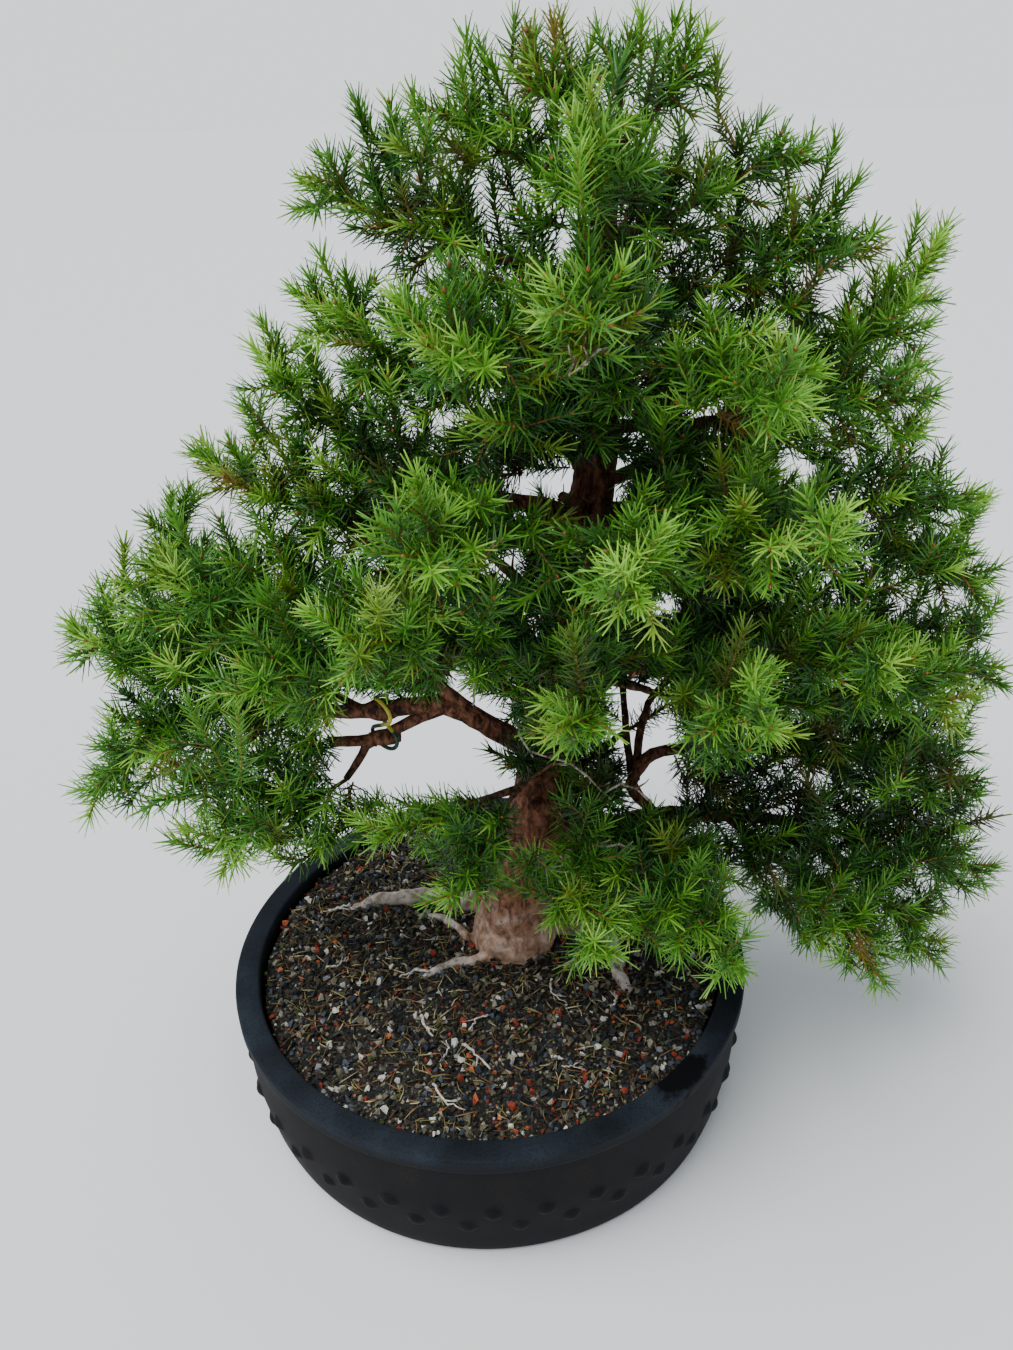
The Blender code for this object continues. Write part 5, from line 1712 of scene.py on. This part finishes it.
def wood_near_soil():
    """The places of the trunk's foot and the roots at the soil, for keeping grains off them."""
    spots = []
    for rows, share in ((TRUNK[:4], 1), (BURLS, 0.8)):
        for x, y, _, radius in rows:
            spots.append((Vector((x * MM, y * MM, 0)), radius * share * MM))
    for points, radius in ROOTS:
        line = Path([scaled(point) for point in points])
        for k in range(30):
            place = line.at(line.length * k / 29)
            if place.z > soil_height(place.x, place.y) + 0.5 * MM:
                size = radius * MM * (1 - ROOT_NARROWING * k / 29)
                spots.append((Vector((place.x, place.y, 0)), size * 0.8))
    return spots


def grain_shapes():
    """A few crushed grains, each a sharp-edged lump of a dozen faces."""
    rng = random.Random(3)
    shapes = []
    for k in range(GRAIN_SHAPES):
        lump = bmesh.new()
        for _ in range(GRAIN_CORNERS):
            way = Vector([rng.gauss(0, 1) for _ in range(3)]).normalized()
            lump.verts.new((way.x * 1.15, way.y, way.z * 0.85))
        hull = bmesh.ops.convex_hull(lump, input=lump.verts)
        bmesh.ops.delete(lump, geom=hull["geom_interior"], context="VERTS")
        bmesh.ops.recalc_face_normals(lump, faces=lump.faces)
        data = bpy.data.meshes.new(f"grain_{k}")
        lump.to_mesh(data)
        lump.free()
        shapes.append(bpy.data.objects.new(f"grain_{k}", data))
    return shapes


def scatter_tree(finish):
    """Copies of the shapes in a collection, turned and sized by each point's own values."""
    tree, ids, given = copying_tree("scattered_copies", (
        ("Spots", "Geometry", None),
        ("Shapes", "Collection", None),
        ("Smallest", "Float", 0.95 * MM),
        ("Largest", "Float", 2.5 * MM),
        ("Seed", "Int", 1),
    ), "Grains")
    spots = add(tree, "GeometryNodeMeshToPoints", {0: given["Spots"]})
    shapes = add(tree, "GeometryNodeCollectionInfo", {0: given["Shapes"], "Separate Children": True,
                                                      "Reset Children": True})
    turn = add(tree, "FunctionNodeRandomValue", {0: (0, 0, 0), 1: (6.283, 6.283, 6.283),
                                                 "Seed": given["Seed"]}, data_type="FLOAT_VECTOR")
    spot_size = add(tree, "GeometryNodeInputNamedAttribute", {"Name": "size"}, data_type="FLOAT")
    size = add(tree, "ShaderNodeMapRange", {0: spot_size, 3: given["Smallest"],
                                            4: given["Largest"]})
    copies = add(tree, "GeometryNodeInstanceOnPoints", {
        "Points": spots, "Instance": shapes, "Pick Instance": True,
        "Rotation": turn, "Scale": size,
    })
    real = add(tree, "GeometryNodeRealizeInstances", {0: copies})
    done = add(tree, "GeometryNodeSetMaterial", {"Geometry": real, "Material": finish})
    add(tree, "NodeGroupOutput", {0: done})
    return tree, ids


def make_grains(finish):
    """The loose grit that covers the soil."""
    rng = random.Random(8)
    spots = wood_near_soil()
    points, sizes, kinds = [], [], []
    reach = RIM_RADIUS - RIM_WIDTH - 2.2 * MM
    rows = int(2 * reach / GRAIN_ROW)
    for row in range(rows):
        for column in range(int(2 * reach / GRAIN_PITCH) + 1):
            x = -reach + (column + 0.5 * (row % 2)) * GRAIN_PITCH + rng.gauss(0, 0.45) * MM
            y = -reach + row * GRAIN_ROW + rng.gauss(0, 0.45) * MM
            if math.hypot(x, y) > reach:
                continue
            if any(math.hypot(x - spot.x, y - spot.y) < size for spot, size in spots):
                continue
            size = rng.random() ** 1.7
            lift = (0.1 + 1.0 * size + rng.uniform(-0.5, 0.7)) * MM
            points.append((x, y, soil_height(x, y) + lift))
            sizes.append(size)
            kinds.append(rng.random())
    spots_obj = new_piece("fine_grains", points, [], [], {"size": sizes, "kind": kinds})
    group = bpy.data.collections.new("grain_shapes")
    bpy.context.scene.collection.children.link(group)
    shapes = grain_shapes()
    for shape in shapes:
        group.objects.link(shape)
    tree, ids = scatter_tree(finish)
    piece = made_plain(spots_obj, tree, {ids["Shapes"]: group, ids["Seed"]: 5})
    for shape in shapes:
        bpy.data.objects.remove(shape)
    bpy.data.collections.remove(group)
    return place_piece(piece, "grit")


def make_litter(finish):
    """Dry needles that lie on the soil, each a little bent."""
    rng = random.Random(13)
    shell = Shell()
    reach = RIM_RADIUS - RIM_WIDTH - 8 * MM
    for _ in range(LITTER_COUNT):
        distance, angle = reach * math.sqrt(rng.random()), rng.uniform(0, 2 * math.pi)
        x, y = distance * math.cos(angle), distance * math.sin(angle)
        way = rng.uniform(0, 2 * math.pi)
        length = rng.uniform(4, 12) * MM
        z = soil_height(x, y) + rng.uniform(0.9, 2.4) * MM
        across = Vector((math.cos(way), math.sin(way), rng.uniform(-0.12, 0.12)))
        bend = Vector((-math.sin(way), math.cos(way), 0)) * rng.uniform(-1, 1) * MM
        start = Vector((x, y, z))
        line = [start, start + across * length * 0.5 + bend, start + across * length]
        thick = rng.uniform(0.7, 1.15)
        shell.tube(line, [0.32 * MM * thick, 0.38 * MM * thick, 0.12 * MM], 3, vary=rng.random())
    obj = new_piece("fallen_needles", shell.points, shell.faces, [finish], shell.values)
    return place_piece(obj, "grit")


def make_fibres(finish):
    """Pale dead root fibres that lie on the soil, each with a short fork."""
    rng = random.Random(17)
    shell = Shell()
    routes = [
        (((-36, -51), (-33, -59), (-29, -65)), 1.0), (((-14, -71), (-9, -75), (0, -86)), 0.9),
        (((-28, -93), (-21, -103), (-12, -108)), 0.8), (((-95, 34), (-88, 37), (-83, 39)), 1.2),
        (((63, -49), (66, -44), (66, -38)), 0.9), (((-33, -21), (-40, -20), (-49, -24)), 1.0),
        (((-119, -42), (-113, -52), (-105, -63)), 0.5),
    ]
    for _ in range(FIBRE_COUNT):
        angle, distance = rng.uniform(0, 2 * math.pi), rng.uniform(35, 105)
        x, y = distance * math.cos(angle), distance * math.sin(angle)
        way = rng.uniform(0, 2 * math.pi)
        step = rng.uniform(5, 10)
        route = tuple(
            (x + step * j * math.cos(way + 0.4 * j), y + step * j * math.sin(way + 0.4 * j))
            for j in range(3)
        )
        routes.append((route, rng.uniform(0.35, 0.6)))
    for route, radius in routes:
        if any(math.hypot(*point) > 122 for point in route):
            continue
        line = Path([Vector((x * MM, y * MM, soil_height(x * MM, y * MM) + 2.4 * MM))
                     for x, y in route])
        places = uneven(line.between(0, line.length, 11), rng, 0.7 * MM)
        radius *= MM
        shell.tube(places, [radius * (1 - 0.055 * k) * rng.uniform(0.8, 1.2) for k in range(11)],
                   6, 0.4)
        fork = line.direction(0.5 * line.length)
        aside = Vector((-fork.y, fork.x, 0)) * rng.choice((-1, 1))
        twig = [places[5] + (fork + aside * 0.7) * (k * 1.6 * MM) + aside * (k * k * 0.12 * MM)
                for k in range(4)]
        shell.tube(twig, [radius * 0.55 * (1 - 0.2 * k) for k in range(4)], 5, 0.3)
    obj = new_piece("root_fibres", shell.points, shell.faces, [finish])
    return place_piece(obj, "grit")


# Wires

def figure_of_eight(upper, lower, around_upper, around_lower, spread, count=30):
    """A crossed belt round two level bars, which drifts sideways so that it never meets itself."""
    apart = (upper - lower).length
    wrap = math.acos((around_upper + around_lower) / apart)
    turns = np.linspace(0, 1, count)
    down = -math.pi / 2
    first = [down + wrap + turn * (2 * math.pi - 2 * wrap) for turn in turns]
    second = [-down - wrap - turn * (2 * math.pi - 2 * wrap) for turn in turns]
    half = len(first) // 2
    route = [(upper, around_upper, angle) for angle in first[half:]]
    route += [(lower, around_lower, angle) for angle in second]
    route += [(upper, around_upper, angle) for angle in first[:half]]
    points = []
    for k, (middle, reach, angle) in enumerate(route):
        drift = spread * (k / (len(route) - 1) - 0.5) - TIE_YAW * math.cos(angle) * reach
        points.append(middle + Vector((drift, math.cos(angle) * reach, math.sin(angle) * reach)))
    return points


def wire_piece(name, points, radius, finish, slot, node):
    """A round wire through points, which stands for one CAD node."""
    shell = Shell()
    shares = [k / (len(points) - 1) for k in range(len(points))]
    shell.tube(points, [radius] * len(points), 12, along=shares)
    obj = new_piece(name, shell.points, shell.faces, [finish], shell.values)
    return place_piece(obj, slot, node)


def make_wires(plan, covering, copper):
    """The covered tie on the low left branch and the copper coil right of the trunk."""
    upper, lower = Vector(scaled(TIE_UPPER)), Vector(scaled(TIE_LOWER))
    points = figure_of_eight(upper, lower, *TIE_REACHES, TIE_DRIFT)
    wire_piece("fine_tie", points, TIE_RADIUS, covering, "tie_plastic", "branch_tie")
    path, wood, radius = plan["wired"]
    line, _ = wood_points(path, wood, radius)
    count = 24 * WIRE_TURNS
    points = []
    for k in range(count + 1):
        share = WIRE_STARTS + (WIRE_ENDS - WIRE_STARTS) * k / count
        place, along, _ = on_line(line, share)
        side = along.cross(UP).normalized()
        over = side.cross(along)
        turn = math.radians(40) + 2 * math.pi * WIRE_TURNS * k / count
        reach = wood_radius(radius, share) + WIRE_RADIUS + WIRE_ROOM
        points.append(place + (side * math.cos(turn) + over * math.sin(turn)) * reach)
    free = points[0] + Vector(scaled((-7, -3, 4)))
    points = [free + Vector(scaled((-6, -1, -1))), free] + points
    wire_piece("fine_training_wire", points, WIRE_RADIUS, copper, "wire_metal", "training_wire")


# Stage

def set_stage():
    """A plain pale floor, a pale surround and soft light from above and the left."""
    world = bpy.data.worlds.new("pale_surround")
    bpy.context.scene.world = world
    world.use_nodes = True
    tree = world.node_tree
    sky = tree.nodes["Background"]
    sky.inputs["Color"].default_value = linear("#E4ECF2")
    sky.inputs["Strength"].default_value = 0.7
    backdrop = add(tree, "ShaderNodeBackground", {"Color": linear("#E9EDEF"), "Strength": 1.5})
    seen = add(tree, "ShaderNodeLightPath").outputs["Is Camera Ray"]
    both = add(tree, "ShaderNodeMixShader", {0: seen, 1: sky, 2: backdrop})
    feed(tree.nodes["World Output"], {"Surface": both})
    floor_mesh = bpy.data.meshes.new("pale_floor")
    floor_mesh.from_pydata([(-30, -30, 0), (30, -30, 0), (30, 30, 0), (-30, 30, 0)], [],
                           [(0, 1, 2, 3)])
    floor = bpy.data.objects.new("pale_floor", floor_mesh)
    paint, _, shader = finish_of("floor_paint", 0.9)
    shader.inputs["Base Color"].default_value = linear("#F1F3F4")
    floor_mesh.materials.append(paint)
    shown(floor)
    light = bpy.data.lights.new("sky_light", "SUN")
    light.energy = 3.2
    light.angle = math.radians(50)
    lamp = bpy.data.objects.new("sky_light", light)
    lamp.rotation_euler = Vector((0.42, 0.22, -1.0)).to_track_quat("-Z", "Y").to_euler()
    shown(lamp)


def camera_axes():
    """The camera's right, top and view directions."""
    pitch, roll = math.radians(CAMERA_PITCH), math.radians(CAMERA_ROLL)
    ahead = Vector((0, math.cos(pitch), -math.sin(pitch)))
    level = Vector((1, 0, 0))
    top = level.cross(ahead)
    right = level * math.cos(roll) + top * math.sin(roll)
    return right, right.cross(ahead), ahead


def set_camera():
    """The photo's own viewpoint: close, above the rim and looking down."""
    data = bpy.data.cameras.new("photo_camera")
    data.sensor_fit = "VERTICAL"
    data.sensor_height = SENSOR_HEIGHT
    data.lens = CAMERA_LENS
    right, top, ahead = camera_axes()
    camera = bpy.data.objects.new("photo_camera", data)
    turn = Matrix((right, top, -ahead)).transposed().to_4x4()
    camera.matrix_world = Matrix.Translation(Vector(CAMERA_PLACE)) @ turn
    bpy.context.scene.camera = shown(camera)


def main():
    """Dresses every part of the tree and its pot."""
    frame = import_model()
    low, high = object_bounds()
    set_camera()
    set_stage()
    plan = branch_paths()
    room = Room(low, high)
    finishes = {"needle": spruce_needle(), "shoot": shoot_bark(), "bud": bud_scale()}
    dress_sprays(plan, room, finishes)
    make_wood(plan, spruce_bark())
    make_bare_twigs(plan, room, dead_twig())
    make_pot(pot_stoneware())
    make_grains(bonsai_grit())
    make_litter(dry_needle())
    make_fibres(root_fibre())
    make_wires(plan, tie_covering(), weathered_copper())
    repaint = {"soil": soil_dust(), "drain_screen_left": mesh_plastic()}
    repaint["drain_screen_right"] = repaint["drain_screen_left"]
    for node, finish in repaint.items():
        for slot in frame["nodes"][node].material_slots:
            slot.material = finish


main()
